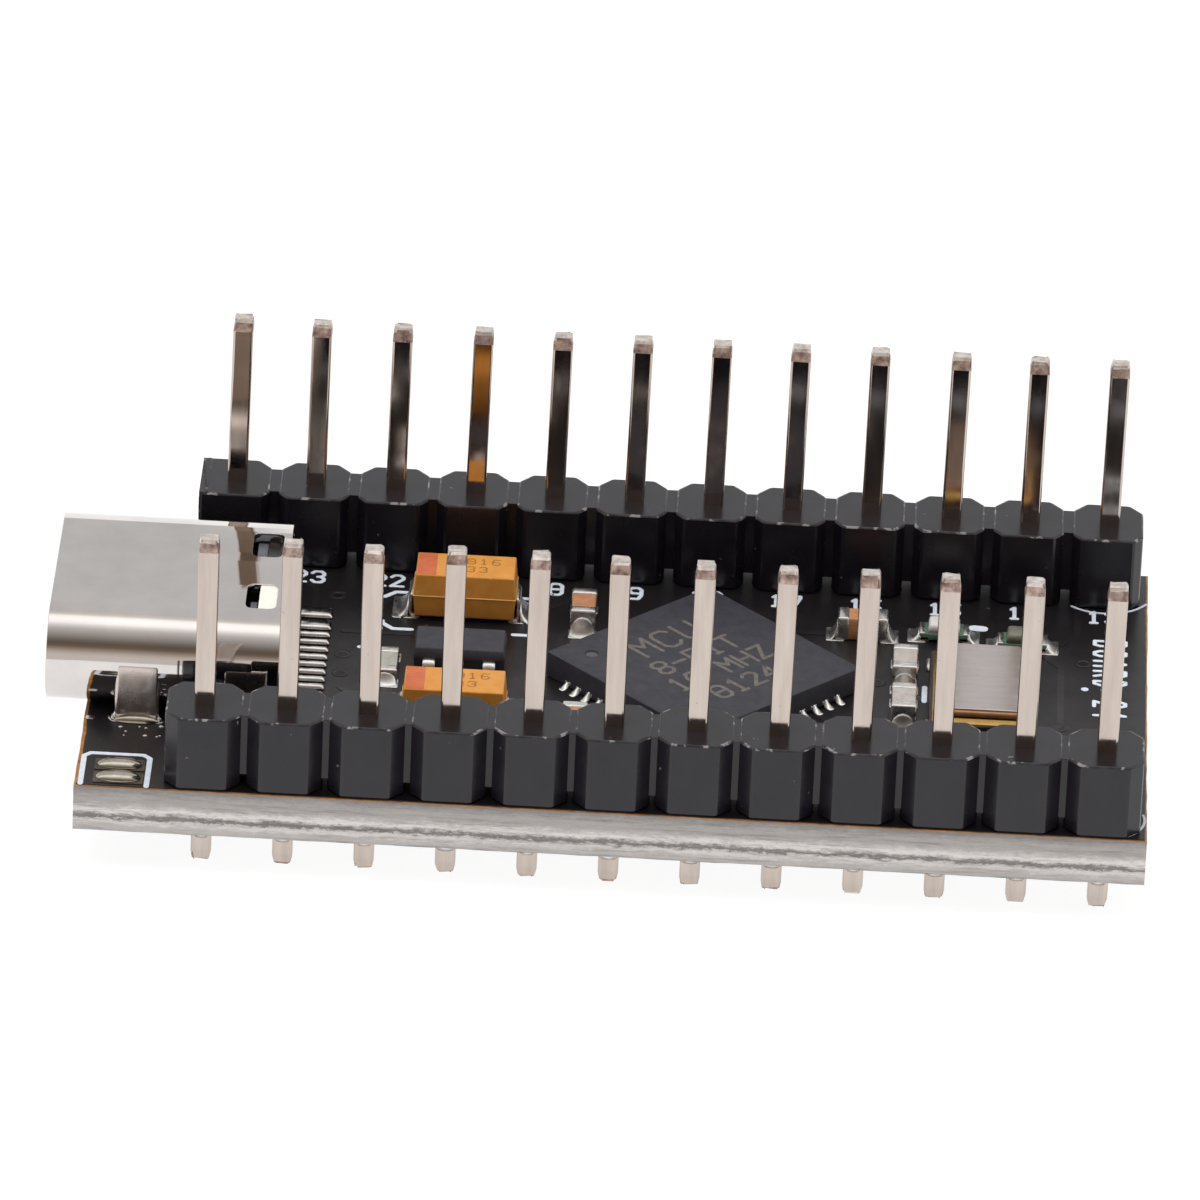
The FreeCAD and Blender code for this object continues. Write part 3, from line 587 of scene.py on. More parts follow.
def board_holes(margin):
    """Outlines of the board's holes and slots, the plated ones widened by the margin."""
    holes = [disc(*pin_place(side, index), HOLE_RADIUS + margin, 0, 16)
             for side in HEADERS for index in range(PINS)]
    half_wide = SLOT_HALF_WIDE + margin
    holes += [ring(x, y, SLOT_HALF_LONG + margin, half_wide, half_wide, 0, 6) for x, y in LEG_PLACES]
    return holes + [disc(PEG_X, y, PEG_RADIUS, 0, 16) for y in (-PEG_SIDE, PEG_SIDE)]


def make_board():
    """Core, copper edge and solder mask as layers, with a half-cut pad at the left edge."""
    mask, copper = 0.035, 0.055
    piece = Piece("board_sheet", MASK, FIBRE, COPPER_EDGE, TIN)
    outline = ragged_outline(0.0, 0.03)
    pulled = ragged_outline(0.05, 0.03, bare=0.09)
    holes = board_holes(0.0)
    piece.add(sheet(outline, holes, UNDER + mask, DECK - copper), 1)
    piece.add(sheet(ragged_outline(0.0, 0.03), holes, DECK - copper, DECK - 0.03), 2)
    piece.add(sheet(pulled, board_holes(0.04), DECK - 0.03, DECK), 0)
    piece.add(sheet(pulled, board_holes(0.04), UNDER, UNDER + mask), 0)
    x, y = on_board(-16.44, -4.46)
    piece.add(block((x - 0.15, y - 0.11, DECK - 0.02), (x + 0.13, y + 0.11, DECK + 0.012), 0.008, 0.08), 3)
    piece.finish("solder_mask", "circuit_board", sharp=35)


# Copper tracks that show through the mask, from the board's middle, with 45 degree turns.
TOP_TRACKS = [
    [(-8.3, 3.2), (-7.4, 4.6), (-7.4, 6.0)],
    [(-8.9, 2.2), (-6.6, 2.2), (-6.1, 1.7)],
    [(-8.8, -1.6), (-7.9, -2.5), (-7.9, -3.9)],
    [(-2.9, 0.9), (-2.0, 1.8), (-2.0, 2.6), (-1.3, 3.2)],
    [(-2.9, 4.0), (-1.6, 5.3), (-1.6, 6.2)],
    [(6.6, 3.7), (5.2, 3.7), (4.4, 3.0)],
    [(8.9, 2.1), (8.9, 2.9), (8.4, 3.4)],
    [(9.7, -0.4), (9.3, -0.4), (8.95, -0.05)],
    [(13.2, -2.4), (13.9, -1.7), (13.9, 2.2), (13.4, 2.9)],
    [(7.4, -0.1), (8.1, 0.5)],
    [(11.1, 3.9), (11.8, 3.5)],
    [(13.6, 3.5), (14.4, 4.3), (14.4, 6.1)],
    [(0.4, -5.0), (1.6, -3.9), (2.0, -3.9)],
    [(6.9, -3.3), (6.9, -2.4), (6.3, -1.9)],
    [(-13.6, 5.7), (-10.6, 5.7), (-9.9, 5.0), (-9.9, 3.6)],
    [(-14.9, -7.0), (-14.9, -6.0)],
]
UNDER_TRACKS = [
    [(-12.7, -6.7), (-12.7, -5.2), (-9.2, -1.7), (-2.0, -1.7), (-0.9, -0.6)],
    [(-10.16, -6.7), (-10.16, -5.4), (-7.3, -2.5), (-1.5, -2.5), (0.2, -0.8)],
    [(-7.62, -6.7), (-7.62, -5.0), (-6.0, -3.4), (-0.9, -3.4), (1.3, -1.2)],
    [(-2.54, -6.7), (-2.54, -5.4), (-1.4, -4.3), (-0.2, -4.3), (2.2, -1.9)],
    [(0.0, -6.7), (0.0, -5.7), (2.6, -3.1)],
    [(2.54, -6.7), (2.54, -4.2), (3.4, -3.3)],
    [(5.08, -6.7), (5.08, -3.8), (4.2, -2.9)],
    [(7.62, -6.7), (7.62, -4.6), (5.4, -2.4)],
    [(10.16, -6.7), (10.16, -4.8), (6.7, -1.3), (5.6, -1.3)],
    [(12.7, -6.7), (12.7, -4.4), (8.6, -0.3), (5.9, -0.3)],
    [(15.24, -6.7), (15.24, -3.4), (11.4, 0.4), (6.0, 0.4)],
    [(15.24, 6.7), (15.24, 4.6), (12.2, 1.5), (6.1, 1.5)],
    [(12.7, 6.7), (12.7, 5.0), (10.0, 2.3), (5.6, 2.3)],
    [(10.16, 6.7), (10.16, 5.4), (7.9, 3.1), (5.0, 3.1)],
    [(7.62, 6.7), (7.62, 5.6), (5.9, 3.9), (4.4, 3.9)],
    [(0.0, 6.7), (0.0, 4.9), (1.4, 3.5)],
    [(-2.54, 6.7), (-2.54, 4.3), (-0.6, 2.4)],
    [(-5.08, 6.7), (-5.08, 3.6), (-3.2, 1.7), (-0.8, 1.7)],
    [(-10.16, 6.7), (-10.16, 4.4), (-6.6, 0.8), (-1.4, 0.8)],
    [(-12.7, 6.7), (-12.7, 3.9), (-8.8, 0.0), (-1.6, 0.0)],
]
VIAS = [(-8.83, 0.63), (-8.83, -0.63), (-9.2, 4.6), (-2.0, 1.2), (8.1, 0.6), (13.9, -1.8), (4.2, -5.2),
        (-1.5, -5.9), (14.6, 2.6), (-8.0, 5.2), (9.4, -4.2), (13.2, -4.6), (-12.9, 5.6)]


def make_tracks():
    """Tracks under the mask, on both faces, and the vias."""
    piece = Piece("board_tracks", TRACE)
    for track in TOP_TRACKS:
        print_line(piece, [on_board(*point) for point in track], 0.22, DECK - 0.02, DECK + 0.014)
    for track in UNDER_TRACKS:
        print_line(piece, [on_board(*point) for point in track], 0.25, UNDER - 0.014, UNDER + 0.02)
    piece.finish("solder_mask", sharp=35)
    vias = Piece("board_vias", TRACE, VIA)
    ends = [track[-1] for track in UNDER_TRACKS]
    for place in VIAS + ends:
        x, y = on_board(*place)
        tops = [(DECK - 0.02, 1)] if place in VIAS else []
        for level, side in tops + [(UNDER + 0.02, -1)]:
            profile = [(0.28, 0), (0.28, 0.032), (0.24, 0.045), (0.16, 0.045), (0.13, 0.025)]
            vias.add(loft([disc(x, y, radius, level + side * up, 16) for radius, up in profile]))
            # Near-black disc at the bottom of the dip: painted shade of the via's hole.
            vias.add(loft([disc(x, y, 0.135, level + side * up, 12) for up in (0, 0.027)]), 1)
    vias.finish("solder_mask", sharp=35)


# Lands and fillets that the components note as they are made.
LANDS, FILLETS = [], []


def make_lands():
    """Tinned copper round holes and under components."""
    piece = Piece("board_lands", TIN)
    for side in HEADERS:
        for index in range(PINS):
            x, y = pin_place(side, index)
            for level in (DECK - 0.01, UNDER - 0.02):
                hole = disc(x, y, HOLE_RADIUS, 0, 28)
                piece.add(sheet(disc(x, y, 0.86, 0, 28), [hole], level, level + 0.03))
    for x, y in LEG_PLACES:
        outline = ring(x, y, LEG_LONG / 2 + 0.3, 0.42, 0.42, 0, 8)
        hole = ring(x, y, SLOT_HALF_LONG, SLOT_HALF_WIDE, SLOT_HALF_WIDE, 0, 8)
        piece.add(sheet(outline, [hole], UNDER - 0.02, UNDER + 0.01))
    for x, y, half_x, half_y in LANDS:
        low, high = (x - half_x, y - half_y, DECK - 0.01), (x + half_x, y + half_y, DECK + 0.025)
        piece.add(block(low, high, 0.02, 0.08))
    piece.finish("terminal_tin")


# ---------------------------------------------------------------- headers
def trimmed(points, length):
    """Outline with each corner cut by a short facet."""
    result = []
    for before, point, after in zip(points[-1:] + points[:-1], points, points[1:] + points[:1]):
        result.append(point + (before - point).normalized() * min(length, (before - point).length / 3))
        result.append(point + (after - point).normalized() * min(length, (after - point).length / 3))
    return result


# Corner cuts of a header segment, by "on the rear strip" and "at the strip's rear side".
CORNER_CUTS = {(True, True): (0.42, 0.5), (True, False): (0.28, 0.34), (False, True): (0.42, 0.45),
               (False, False): (0.45, 0.46)}


def segment_ring(x, y, square_left, inset, level):
    """Outline of one header segment: an octagon, or square at a cut end."""
    rear = y > 0
    half_x, half_y = (1.12 if rear else 1.19) - inset, 1.25 - inset
    corners = []
    for sign_x, sign_y in ((1, 1), (-1, 1), (-1, -1), (1, -1)):
        square = square_left and sign_x < 0
        trim_x, trim_y = (0.05, 0.05) if square else CORNER_CUTS[rear, sign_y > 0]
        pair = [(sign_x * half_x, sign_y * (half_y - trim_y)), (sign_x * (half_x - trim_x), sign_y * half_y)]
        corners += pair if sign_x * sign_y > 0 else pair[::-1]
    return trimmed([Vector((x + across, y + along, level)) for across, along in corners], 0.05)


def make_housing(side):
    """Strip of segments with low webs between them, lighter at the upper edges from wear and from a painted
    highlight.
    """
    piece = Piece("header_strip_" + side, PLASTIC, RAW_PLASTIC_AND_GLINTS, WORN_EDGE_AND_HIGHLIGHT)
    for index in range(PINS):
        x, y = pin_place(side, index)
        square = side == "rear" and index == 0
        top = HOUSING_TOP - random.random() * 0.015
        levels = soft_levels(DECK + 0.01, top, 0.06)
        if index == 5:
            levels[-1] = (HOUSING_TOP, levels[-1][1])
        solid = loft([segment_ring(x, y, square, inset, level) for level, inset in levels])
        # The upper rounding takes the lighter edge: wear plus painted highlight.
        for face in solid.faces:
            if face.calc_center_median().z > top - 0.06 and face.normal.z < 0.97:
                face.material_index = 2
        piece.add(solid, None, flat=lambda face: face.calc_area() > 0.2)
        if index:
            edge = x - PITCH / 2
            web = block((edge - 0.3, y - 0.79, DECK + 0.4), (edge + 0.3, y + 0.75, HOUSING_TOP - 0.045),
                        0.015)
            piece.add(web, flat=lambda face: face.calc_area() > 0.1)
    if side == "rear":
        x, y = pin_place(side, 0)
        levels = [(DECK + 0.03 + 0.25 * step, 0.0) for step in range(10)] + [(HOUSING_TOP - 0.004, 0.02)]
        stub = loft([ring(x - 0.98, y, 0.135, 1.24 - inset, 0.03, level, 9) for level, inset in levels])
        for vertex in stub.verts:
            vertex.co += Vector([random.uniform(-0.012, 0.012) for _ in range(3)])
            vertex.co.z = min(vertex.co.z, HOUSING_TOP)
        # Broken end, with its brownish specks as painted glints.
        piece.add(stub, 1)
    piece.finish("header_plastic", "header_housing_" + side)


def make_pins(side):
    """Square pins with sheared, uneven ends, each leaning a little."""
    piece = Piece("pin_row_" + side, PIN, PIN_BEVEL, PIN_CUT)
    tip = HEADERS[side][1].z
    half = PIN_SIDE / 2
    for index in range(PINS):
        x, y = pin_place(side, index)
        lean_x = math.tan(math.radians(random.uniform(-0.5, 0.5) + (1.1 if side == "rear" else 0.2)))
        lean_y = math.tan(math.radians(random.uniform(-0.5, 0.5)))
        full = index == 3
        top = tip - (0.0 if full else random.random() * 0.06)
        steps = [(0.0, 0.09, 0.1), (0.07, 0.05, 0.05), (0.32, 0.0, 0.01), (0.4, 0.0, 0.0),
                 (top - 0.42, 0.0, 0.0), (top - 0.32, 0.015, 0.02), (top - 0.1, 0.03, 0.07), (top, 0.05, 0.1)]
        rings = []
        for level, inset_x, inset_y in steps:
            over = max(level - HOUSING_TOP, 0)
            here_x, here_y = x + lean_x * over, y + lean_y * over
            points = ring(here_x, here_y, half - inset_x, half - inset_y, 0.075, level, 4)
            rough = 0.028 if level > top - 0.35 or level < 0.1 else 0.0
            for point in points:
                point.x += random.uniform(-rough, rough) * 0.6
                point.y += random.uniform(-rough, rough)
                point.z += random.uniform(0, rough * 1.6) * (-1 if level > 1 else 1)
            rings.append(points)
        if full:
            rings[0][0].z = 0.0
            rings[-1][0].z = tip
        solid = loft(rings)
        for face in solid.faces:
            level = face.calc_center_median().z
            if level > top - 0.08 or level < 0.05:
                face.material_index = 2
            elif level > top - 0.4 or level < 0.08:
                face.material_index = 1
        piece.add(solid, None, flat=lambda face: face.calc_area() > 0.5)
    piece.finish("pin_metal", "header_pins_" + side, sharp=35)


def make_pin_joints(side):
    """Solder cones under the board."""
    piece = Piece("pin_joints_" + side, SOLDER)
    for index in range(PINS):
        x, y = pin_place(side, index)
        swell = random.uniform(0.94, 1.04)
        profile = [(0.48, 0.05), (0.82, 0.01), (0.8, -0.04), (0.68, -0.13), (0.55, -0.27), (0.45, -0.42),
                   (0.38, -0.56), (0.3, -0.6)]
        piece.add(loft([disc(x, y, radius * swell, UNDER + drop, 24) for radius, drop in profile]))
    piece.finish("solder", "header_solder_" + side)


# ---------------------------------------------------------------- receptacle
def stadium(x, half_y, half_z, z, steps=14):
    """Outline across X: flat above and below, round at the sides."""
    points = []
    for side, turn in ((1, -90), (-1, 90)):
        for step in range(steps + 1):
            angle = math.radians(turn + 180 * step / steps)
            points.append(Vector((x, side * (half_y - half_z) + half_z * math.cos(angle),
                                  z + half_z * math.sin(angle))))
    return points


def tube(low_x, high_x, half_y, half_z, z, wall):
    """Open-ended shell with its mouth slightly flared inside."""
    solid = bmesh.new()
    path = [(low_x, 0.02), (low_x + 0.03, 0.0), (high_x - 0.02, 0.0), (high_x, 0.02),
            (high_x, wall - 0.02), (high_x - 0.02, wall), (low_x + 0.25, wall), (low_x + 0.04, wall - 0.1),
            (low_x, wall - 0.14)]
    rows = [[solid.verts.new(point) for point in stadium(x, half_y - inset, half_z - inset, z)]
            for x, inset in path]
    bridge(solid, rows + rows[:1])
    bmesh.ops.recalc_face_normals(solid, faces=solid.faces[:])
    return solid


# Outer face of a leg: height over the shell's axis, distance from the middle of the board.
LEG_FACE = [(0.32, 4.42), (0.27, 4.444), (0.2, 4.458), (0.1, 4.469), (-0.04, 4.478), (-0.3, 4.49),
            (-0.6, 4.502), (-1.0, 4.506), (-1.5, 4.5), (-2.7, 4.49), (-2.95, 4.47), (-3.08, 4.4)]


def make_leg(x, sign):
    """Leg that leaves the shell's side and tapers below the board."""
    rings = []
    for up, outer in LEG_FACE:
        taper = 0.1 * max(0.0, -2.7 - up)
        points = ring(0, 0, LEG_LONG / 2 - taper, 0.15, 0.12, SHELL_AXIS + up, 4)
        rings.append([point + Vector((x, sign * (outer - 0.15), 0)) for point in points])
    return loft(rings)


def make_shell():
    """Folded shell, cut low behind its end, with two windows and their tabs, and four legs."""
    low, high = SHELL_LOW, SHELL_HIGH
    half_y, end = (high.y - low.y) / 2, high.x
    cutters = [block((end - 0.85, -half_y - 0.5, DECK - 0.2), (end + 0.5, half_y + 0.5, DECK + 2.2),
                     0.05, 0.2)]
    for y in (-WINDOW_SIDE, WINDOW_SIDE):
        cutters.append(block((end - 1.2, y - 0.8, high.z - 0.5), (end - 0.25, y + 0.8, high.z + 0.5),
                             0.02, 0.22))
    solid = carve(tube(low.x, high.x, half_y, SHELL_ROUND, SHELL_AXIS, 0.3), cutters)
    piece = Piece("receptacle_shell", SHELL, LEG, TAB_PAINTED_HIGHLIGHT, INSIDE)
    solid.normal_update()
    piece.add(solid, flat=lambda face: abs(face.normal.z) > 0.9999)
    # Tab in the near window, near-white with the painted highlight.
    piece.add(block((end - 0.8, -2.56, high.z - 0.2), (end - 0.22, -0.94, high.z - 0.035), 0.02, 0.08), 2)
    piece.add(block((end - 1.08, -2.5, high.z - 0.56), (end - 0.86, -1.4, high.z - 0.4), 0.02, 0.04), 3)
    piece.add(block((end - 1.07, 0.9, high.z - 0.5), (end - 0.74, 2.6, high.z - 0.38), 0.02, 0.06), 3)
    for x in LEG_MIDDLES:
        for sign in (-1, 1):
            piece.add(make_leg(x, sign), 1)
    piece.finish("shell_steel", "usb_shell", bevel=0.04)


def make_insert():
    """Moulding with its core, tongue, rear skirt, feet and locating pegs."""
    face, back = SHELL_LOW.x + 4.4, extent("usb_insert")[1].x
    piece = Piece("receptacle_moulding", INSERT)
    core = [(face, 0.05), (face + 0.05, 0.0), (back - 0.06, 0.0), (back, 0.06)]
    solid = loft([stadium(x, 4.17 - inset, 1.28 - inset, SHELL_AXIS) for x, inset in core])
    cutters = [block((back - 1.3, y - 0.8, SHELL_HIGH.z - 0.62), (back - 0.72, y + 0.8, SHELL_HIGH.z), 0.02)
               for y in (-WINDOW_SIDE, WINDOW_SIDE)]
    piece.add(carve(solid, cutters))
    tongue_low, tongue_high = (SHELL_LOW.x + 0.6, -3.345), (face + 0.1, 3.345)
    piece.add(block((*tongue_low, SHELL_AXIS - 0.35), (*tongue_high, SHELL_AXIS + 0.35), 0.12, 0.35))
    piece.add(block((back - 0.85, -3.87, DECK + 0.02), (back - 0.02, 3.87, DECK + 2.1), 0.12, 0.1))
    for sign in (-1, 1):
        foot = sign * 3.35
        piece.add(block((back - 0.62, foot - 0.4, DECK), (back, foot + 0.4, DECK + 1.3), 0.12, 0.16))
        profile = [(PEG_RADIUS, DECK + 0.1), (PEG_RADIUS, UNDER + 0.9), (0.22, UNDER + 0.8)]
        piece.add(loft([disc(PEG_X, sign * PEG_SIDE, radius, level, 16) for radius, level in profile]))
    piece.finish("insert_plastic", "usb_insert", sharp=35)


def strip(points, y, width, thick):
    """Bent flat strip in the XZ plane through the points of its middle line."""
    rings = []
    for index, (x, z) in enumerate(points):
        before, after = points[max(index - 1, 0)], points[min(index + 1, len(points) - 1)]
        run = Vector((after[0] - before[0], 0, after[1] - before[1])).normalized()
        normal = Vector((-run.z, 0, run.x)) * thick / 2
        here, side, flank = Vector((x, y, z)), Vector((0, width / 2, 0)), normal * 0.6
        inner = side * 0.86
        rings.append([here + across + over for across, over in (
            (inner, normal), (-inner, normal), (-side, flank), (-side, -flank),
            (-inner, -normal), (inner, -normal), (side, -flank), (side, flank))])
    return loft(rings)


def make_contacts():
    """Contacts on both faces of the tongue, their tails down to the board and the solder there."""
    piece = Piece("receptacle_contacts", GOLD, TIN, SOLDER)
    mouth = SHELL_LOW.x
    drop, toe = mouth + 7.0, mouth + 8.3
    places = [(sign * offset, 0.6, (1, -1)) for sign in (-1, 1) for offset in (2.4, 3.2)]
    places += [((2 * index - 7) * 0.25, 0.3, ((1, -1)[index % 2],)) for index in range(8)]
    for y, width, sides in places:
        for side in sides:
            level = SHELL_AXIS + side * 0.3
            line = [(mouth + 1.1, level - side * 0.05), (mouth + 1.25, level), (mouth + 4.6, level)]
            piece.add(strip(line, y, width, 0.12))
        tail = [(drop + 0.1, DECK + 0.95), (drop + 0.1, DECK + 0.42), (drop + 0.16, DECK + 0.2),
                (drop + 0.34, DECK + 0.085), (drop + 0.6, DECK + 0.07), (toe + 0.05, DECK + 0.07)]
        piece.add(strip(tail, y, width * 0.75, 0.1), 1)
        mound = [(0.02, 0.0), (0.07, 0.02), (0.12, 0.06), (0.15, 0.12)]
        x, half_x = (drop + 0.35 + toe) / 2 + 0.12, (toe - drop - 0.35) / 2 + 0.22
        rings = [ring(x, y, half_x - inset, width / 2 - inset * 0.8, 0.08, DECK + level)
                 for level, inset in mound]
        piece.add(loft(rings), 2)
    piece.finish("contact_gold", "usb_contacts")


def dome(x, y, half_x, half_y, low, rise):
    """Low rounded lump with its base buried a little."""
    rings = []
    for slope in range(7):
        share, up = math.cos(math.radians(slope * 14)), math.sin(math.radians(slope * 14))
        rings.append([Vector((x + half_x * share * math.cos(math.tau * turn / 28),
                              y + half_y * share * math.sin(math.tau * turn / 28), low + rise * up))
                      for turn in range(28)])
    return loft(rings)


def make_leg_solder():
    """Solder in the slots and at the feet of the legs, and stray beads beside the front one."""
    piece = Piece("receptacle_joints", SOLDER, DULL_SOLDER)
    for x in LEG_MIDDLES:
        for sign in (-1, 1):
            y = sign * LEG_SIDE
            half = LEG_LONG / 2
            profile = [(UNDER - 0.1, 0.14), (UNDER - 0.04, 0.04), (UNDER, 0.0), (DECK - 0.1, 0.02),
                       (DECK + 0.01, 0.0)]
            profile += [(DECK + 0.01 + 0.3 * up ** 2.4, 0.2 * up) for up in (0.25, 0.45, 0.62, 0.76, 0.88, 1.0)]
            rings = [ring(x, y, half + 0.19 - inset, 0.36 - inset, 0.3 - inset, level, 6)
                     for level, inset in profile]
            for points in rings[5:]:
                for point in points:
                    point.z += (point.z - DECK) * 0.25 * math.sin(point.x * 5.1 + sign)
            piece.add(loft(rings))
            piece.add(dome(x, y + sign * 0.22, half + 0.06, 0.24, DECK - 0.02, 0.24), 1)
            for end in (-1, 1):
                piece.add(dome(x + end * (half + 0.02), y + sign * 0.2, 0.09, 0.09, DECK, 0.16))
    for _ in range(9):
        x = LEG_MIDDLES[0] + random.uniform(-0.9, 0.9)
        y = -LEG_SIDE - random.uniform(0.5, 1.25)
        radius = random.uniform(0.025, 0.06)
        piece.add(dome(x, y, radius * 1.4, radius, DECK, radius))
    piece.finish("solder", "usb_leg_solder")


# ---------------------------------------------------------------- large components
def toe_fillet(width, rise, reach, steps=9):
    """Hollow fillet of solder along +X from x = 0, its foot at z = 0."""
    rings = []
    for step in range(steps + 1):
        along = step / steps
        height = rise * (1 - along) ** 2.2 + min(0.055, rise * 0.3) * math.sqrt(1 - along) + 0.004
        half = width / 2 * (1 + 0.1 * math.sin(math.pi * along) - 0.34 * along ** 5)
        arch = [(math.cos(math.pi * turn / 8), math.sin(math.pi * turn / 8)) for turn in range(9)]
        rings.append([Vector((reach * along, half * across, height * up - 0.005)) for across, up in arch])
    return loft(rings)


def make_mcu():
    """Square package turned by 45 degrees, with its marking, lead ends and solder toes."""
    low, high = extent("mcu_package")
    centre = (low + high) / 2
    place = turned(centre.x, centre.y, 45)
    half = (high.x - low.x) / 2 / math.sqrt(2)
    top = high.z
    package = Piece("mcu_moulding", CHIP, DIMPLE)
    levels = [(low.z + 0.02, 0.0), (top - 0.05, 0.0), (top - 0.015, 0.012), (top, 0.05)]
    solid = block((-half, -half, low.z), (half, half, top), 0.04, 0.05, levels)
    dimple = (-half + 1.0, half - 1.0)
    cone = ((0.2, top - 0.05), (0.25, top + 0.05))
    package.add(carve(solid, [loft([disc(*dimple, radius, level, 28) for radius, level in cone])]), 0, place)
    package.add(loft([disc(*dimple, 0.2, level, 28) for level in (top - 0.06, top - 0.042)]), 1, place)
    package.finish("chip_moulding", "mcu_package", sharp=35)
    marks = Piece("mcu_marking", LASER)
    lines = (("MCU", 1.75, 1.05), ("8-BIT", 0.4, 0.78), ("16 MHZ", -0.75, 0.78), ("0124", -1.9, 0.78))
    for text, up, tall in lines:
        letters = (tall * 0.62, tall, tall * 0.28, 0.13)
        line_place = place @ Matrix.Translation((0, up, 0))
        print_text(marks, text, line_place, letters, (top - 0.004, top + 0.0035))
    marks.finish("chip_moulding", sharp=35)
    terminals = Piece("mcu_lead_ends", TIN)
    toes = Piece("mcu_toes", SOLDER)
    for side in range(4):
        facing = place @ turned(0, 0, 90 * side)
        for index in range(11):
            y = (index - 5) * 0.5
            low, high = (half - 0.4, y - 0.125, DECK + 0.002), (half + 0.012, y + 0.125, DECK + 0.2)
            terminals.add(block(low, high, 0.02), 0, facing)
            fillet = toe_fillet(0.25, random.uniform(0.15, 0.22), random.uniform(0.3, 0.36))
            toes.add(fillet, 0, facing @ Matrix.Translation((half + 0.005, y, DECK + 0.01)))
    terminals.finish("terminal_tin", "mcu_terminals")
    toes.finish("solder", "mcu_solder")


def make_crystal():
    """Ceramic tray, gilt ring with a groove under its flange, its band painted dark as shade, and brushed lid.
    """
    low, high = extent("crystal_base")
    Piece("resonator_tray", CERAMIC).add(block(low, high, 0.05, 0.14)).finish("dark_ceramic", "crystal_base")
    low, high = extent("crystal_ring")
    seal = Piece("resonator_ring", RING, RING_COPPER, RING_SHADE)
    foot = [(-0.02, -0.03), (0.01, 0.0), (0.05, 0.05), (0.12, 0.1), (0.15, 0.13)]
    groove = [(0.1, 0.14), (0.3, 0.14)]
    flange = [(0.19, 0.13), (0.2, 0.1), (0.36, 0.11), (0.385, 0.15)]
    # The groove band takes the painted shade.
    for profile, corner, material in ((foot, 0.2, 0), (groove, 0.12, 2), (flange, 0.14, 1)):
        levels = [(low.z + up, inset) for up, inset in profile]
        seal.add(block(low, high, 0.03, corner, levels), material)
    seal.finish("ring_gold", "crystal_ring")
    low, high = extent("crystal_lid")
    levels = [(high.z - 0.1, 0.0), (high.z - 0.03, 0.0), (high.z - 0.008, 0.012), (high.z, 0.04)]
    Piece("resonator_lid", LID).add(block(low, high, 0.03, 0.16, levels)).finish("lid_metal", "crystal_lid")


def make_regulator():
    """Moulded case with two leads in front and three behind."""
    low, high = extent("regulator_body")
    x, y = ((low + high) / 2).xy
    part = low.z + 0.65
    levels = [(low.z, 0.09), (low.z + 0.02, 0.07), (part - 0.01, 0.0), (part + 0.01, 0.0),
              (high.z - 0.03, 0.05), (high.z, 0.09)]
    body = Piece("regulator_case", CHIP)
    body.add(block(low, high, 0.03, 0.06, levels))
    body.finish("chip_moulding", "regulator_body")
    leads = Piece("regulator_legs", TIN, SOLDER)
    reach_low, reach_high = extent("regulator_leads")
    out = (reach_high.y - reach_low.y) / 2
    line = [(0.7, 0.665), (0.9, 0.665), (1.0, 0.64), (1.06, 0.55), (1.08, 0.2), (1.12, 0.1), (1.2, 0.065),
            (out, 0.065)]
    for sign, step in ((-1, -1), (-1, 1), (1, -1), (1, 0), (1, 1)):
        facing = turned(x + step * 0.95, y, 90 * sign, DECK)
        leads.add(strip(line, 0, 0.4, 0.13), 0, facing)
        leads.add(toe_fillet(0.46, 0.12, 0.24), 1, facing @ Matrix.Translation((out - 0.06, 0, 0)))
        LANDS.append((x + step * 0.95, y + sign * (out - 0.05), 0.32, 0.3))
    leads.finish("terminal_tin", "regulator_leads")


def make_tantalum(name):
    """Moulded case with its parting line, polarity bar and burnt marks, and folded end plates."""
    low, high = extent(name + "_body")
    part = low.z + 0.78
    body = Piece(name + "_case", TANTALUM, STRIPE, BURN, FLASH)
    levels = [(low.z, 0.16), (low.z + 0.03, 0.11), (low.z + 0.09, 0.07), (part - 0.012, 0.022),
              (part + 0.012, 0.022), (high.z - 0.05, 0.08), (high.z - 0.014, 0.095), (high.z, 0.13)]
    body.add(block(low, high, 0.04, 0.07, levels))
    flash = [(part - 0.02, 0.02), (part - 0.008, 0.0), (part + 0.008, 0.0), (part + 0.02, 0.02)]
    body.add(block(low, high, 0.01, 0.07, flash), 3)
    mark_top = high.z + 0.0015
    bar_low, bar_high = (low.x + 0.12, low.y + 0.12, high.z - 0.03), (low.x + 0.72, high.y - 0.12, mark_top)
    body.add(block(bar_low, bar_high, 0.001, 0.03), 1)
    y = (low.y + high.y) / 2
    for text, along in (("1016", 0.3), ("33", -0.24)):
        place = turned(low.x + 2.0, y + along, 0)
        print_text(body, text, place, (0.24, 0.34, 0.16, 0.05), (high.z - 0.01, mark_top), 2)
    body.finish("tantalum_yellow", name + "_body")
    terminals = Piece(name + "_ends", TIN)
    for sign, edge in ((-1, low.x), (1, high.x)):
        facing = turned(edge, y, 90 - 90 * sign, DECK)
        line = [(-0.55, 0.06), (0.0, 0.06), (0.05, 0.1), (0.07, 0.2), (0.07, 0.68), (0.04, 0.74), (-0.02, 0.78)]
        terminals.add(strip(line, 0, 1.15, 0.12), 0, facing)
        FILLETS.append((facing @ Matrix.Translation((0.13, 0, 0)), 1.35, 0.5, 0.46))
        LANDS.append((edge + sign * 0.2, y, 0.44, 0.72))
    terminals.finish("terminal_tin", name + "_terminals")


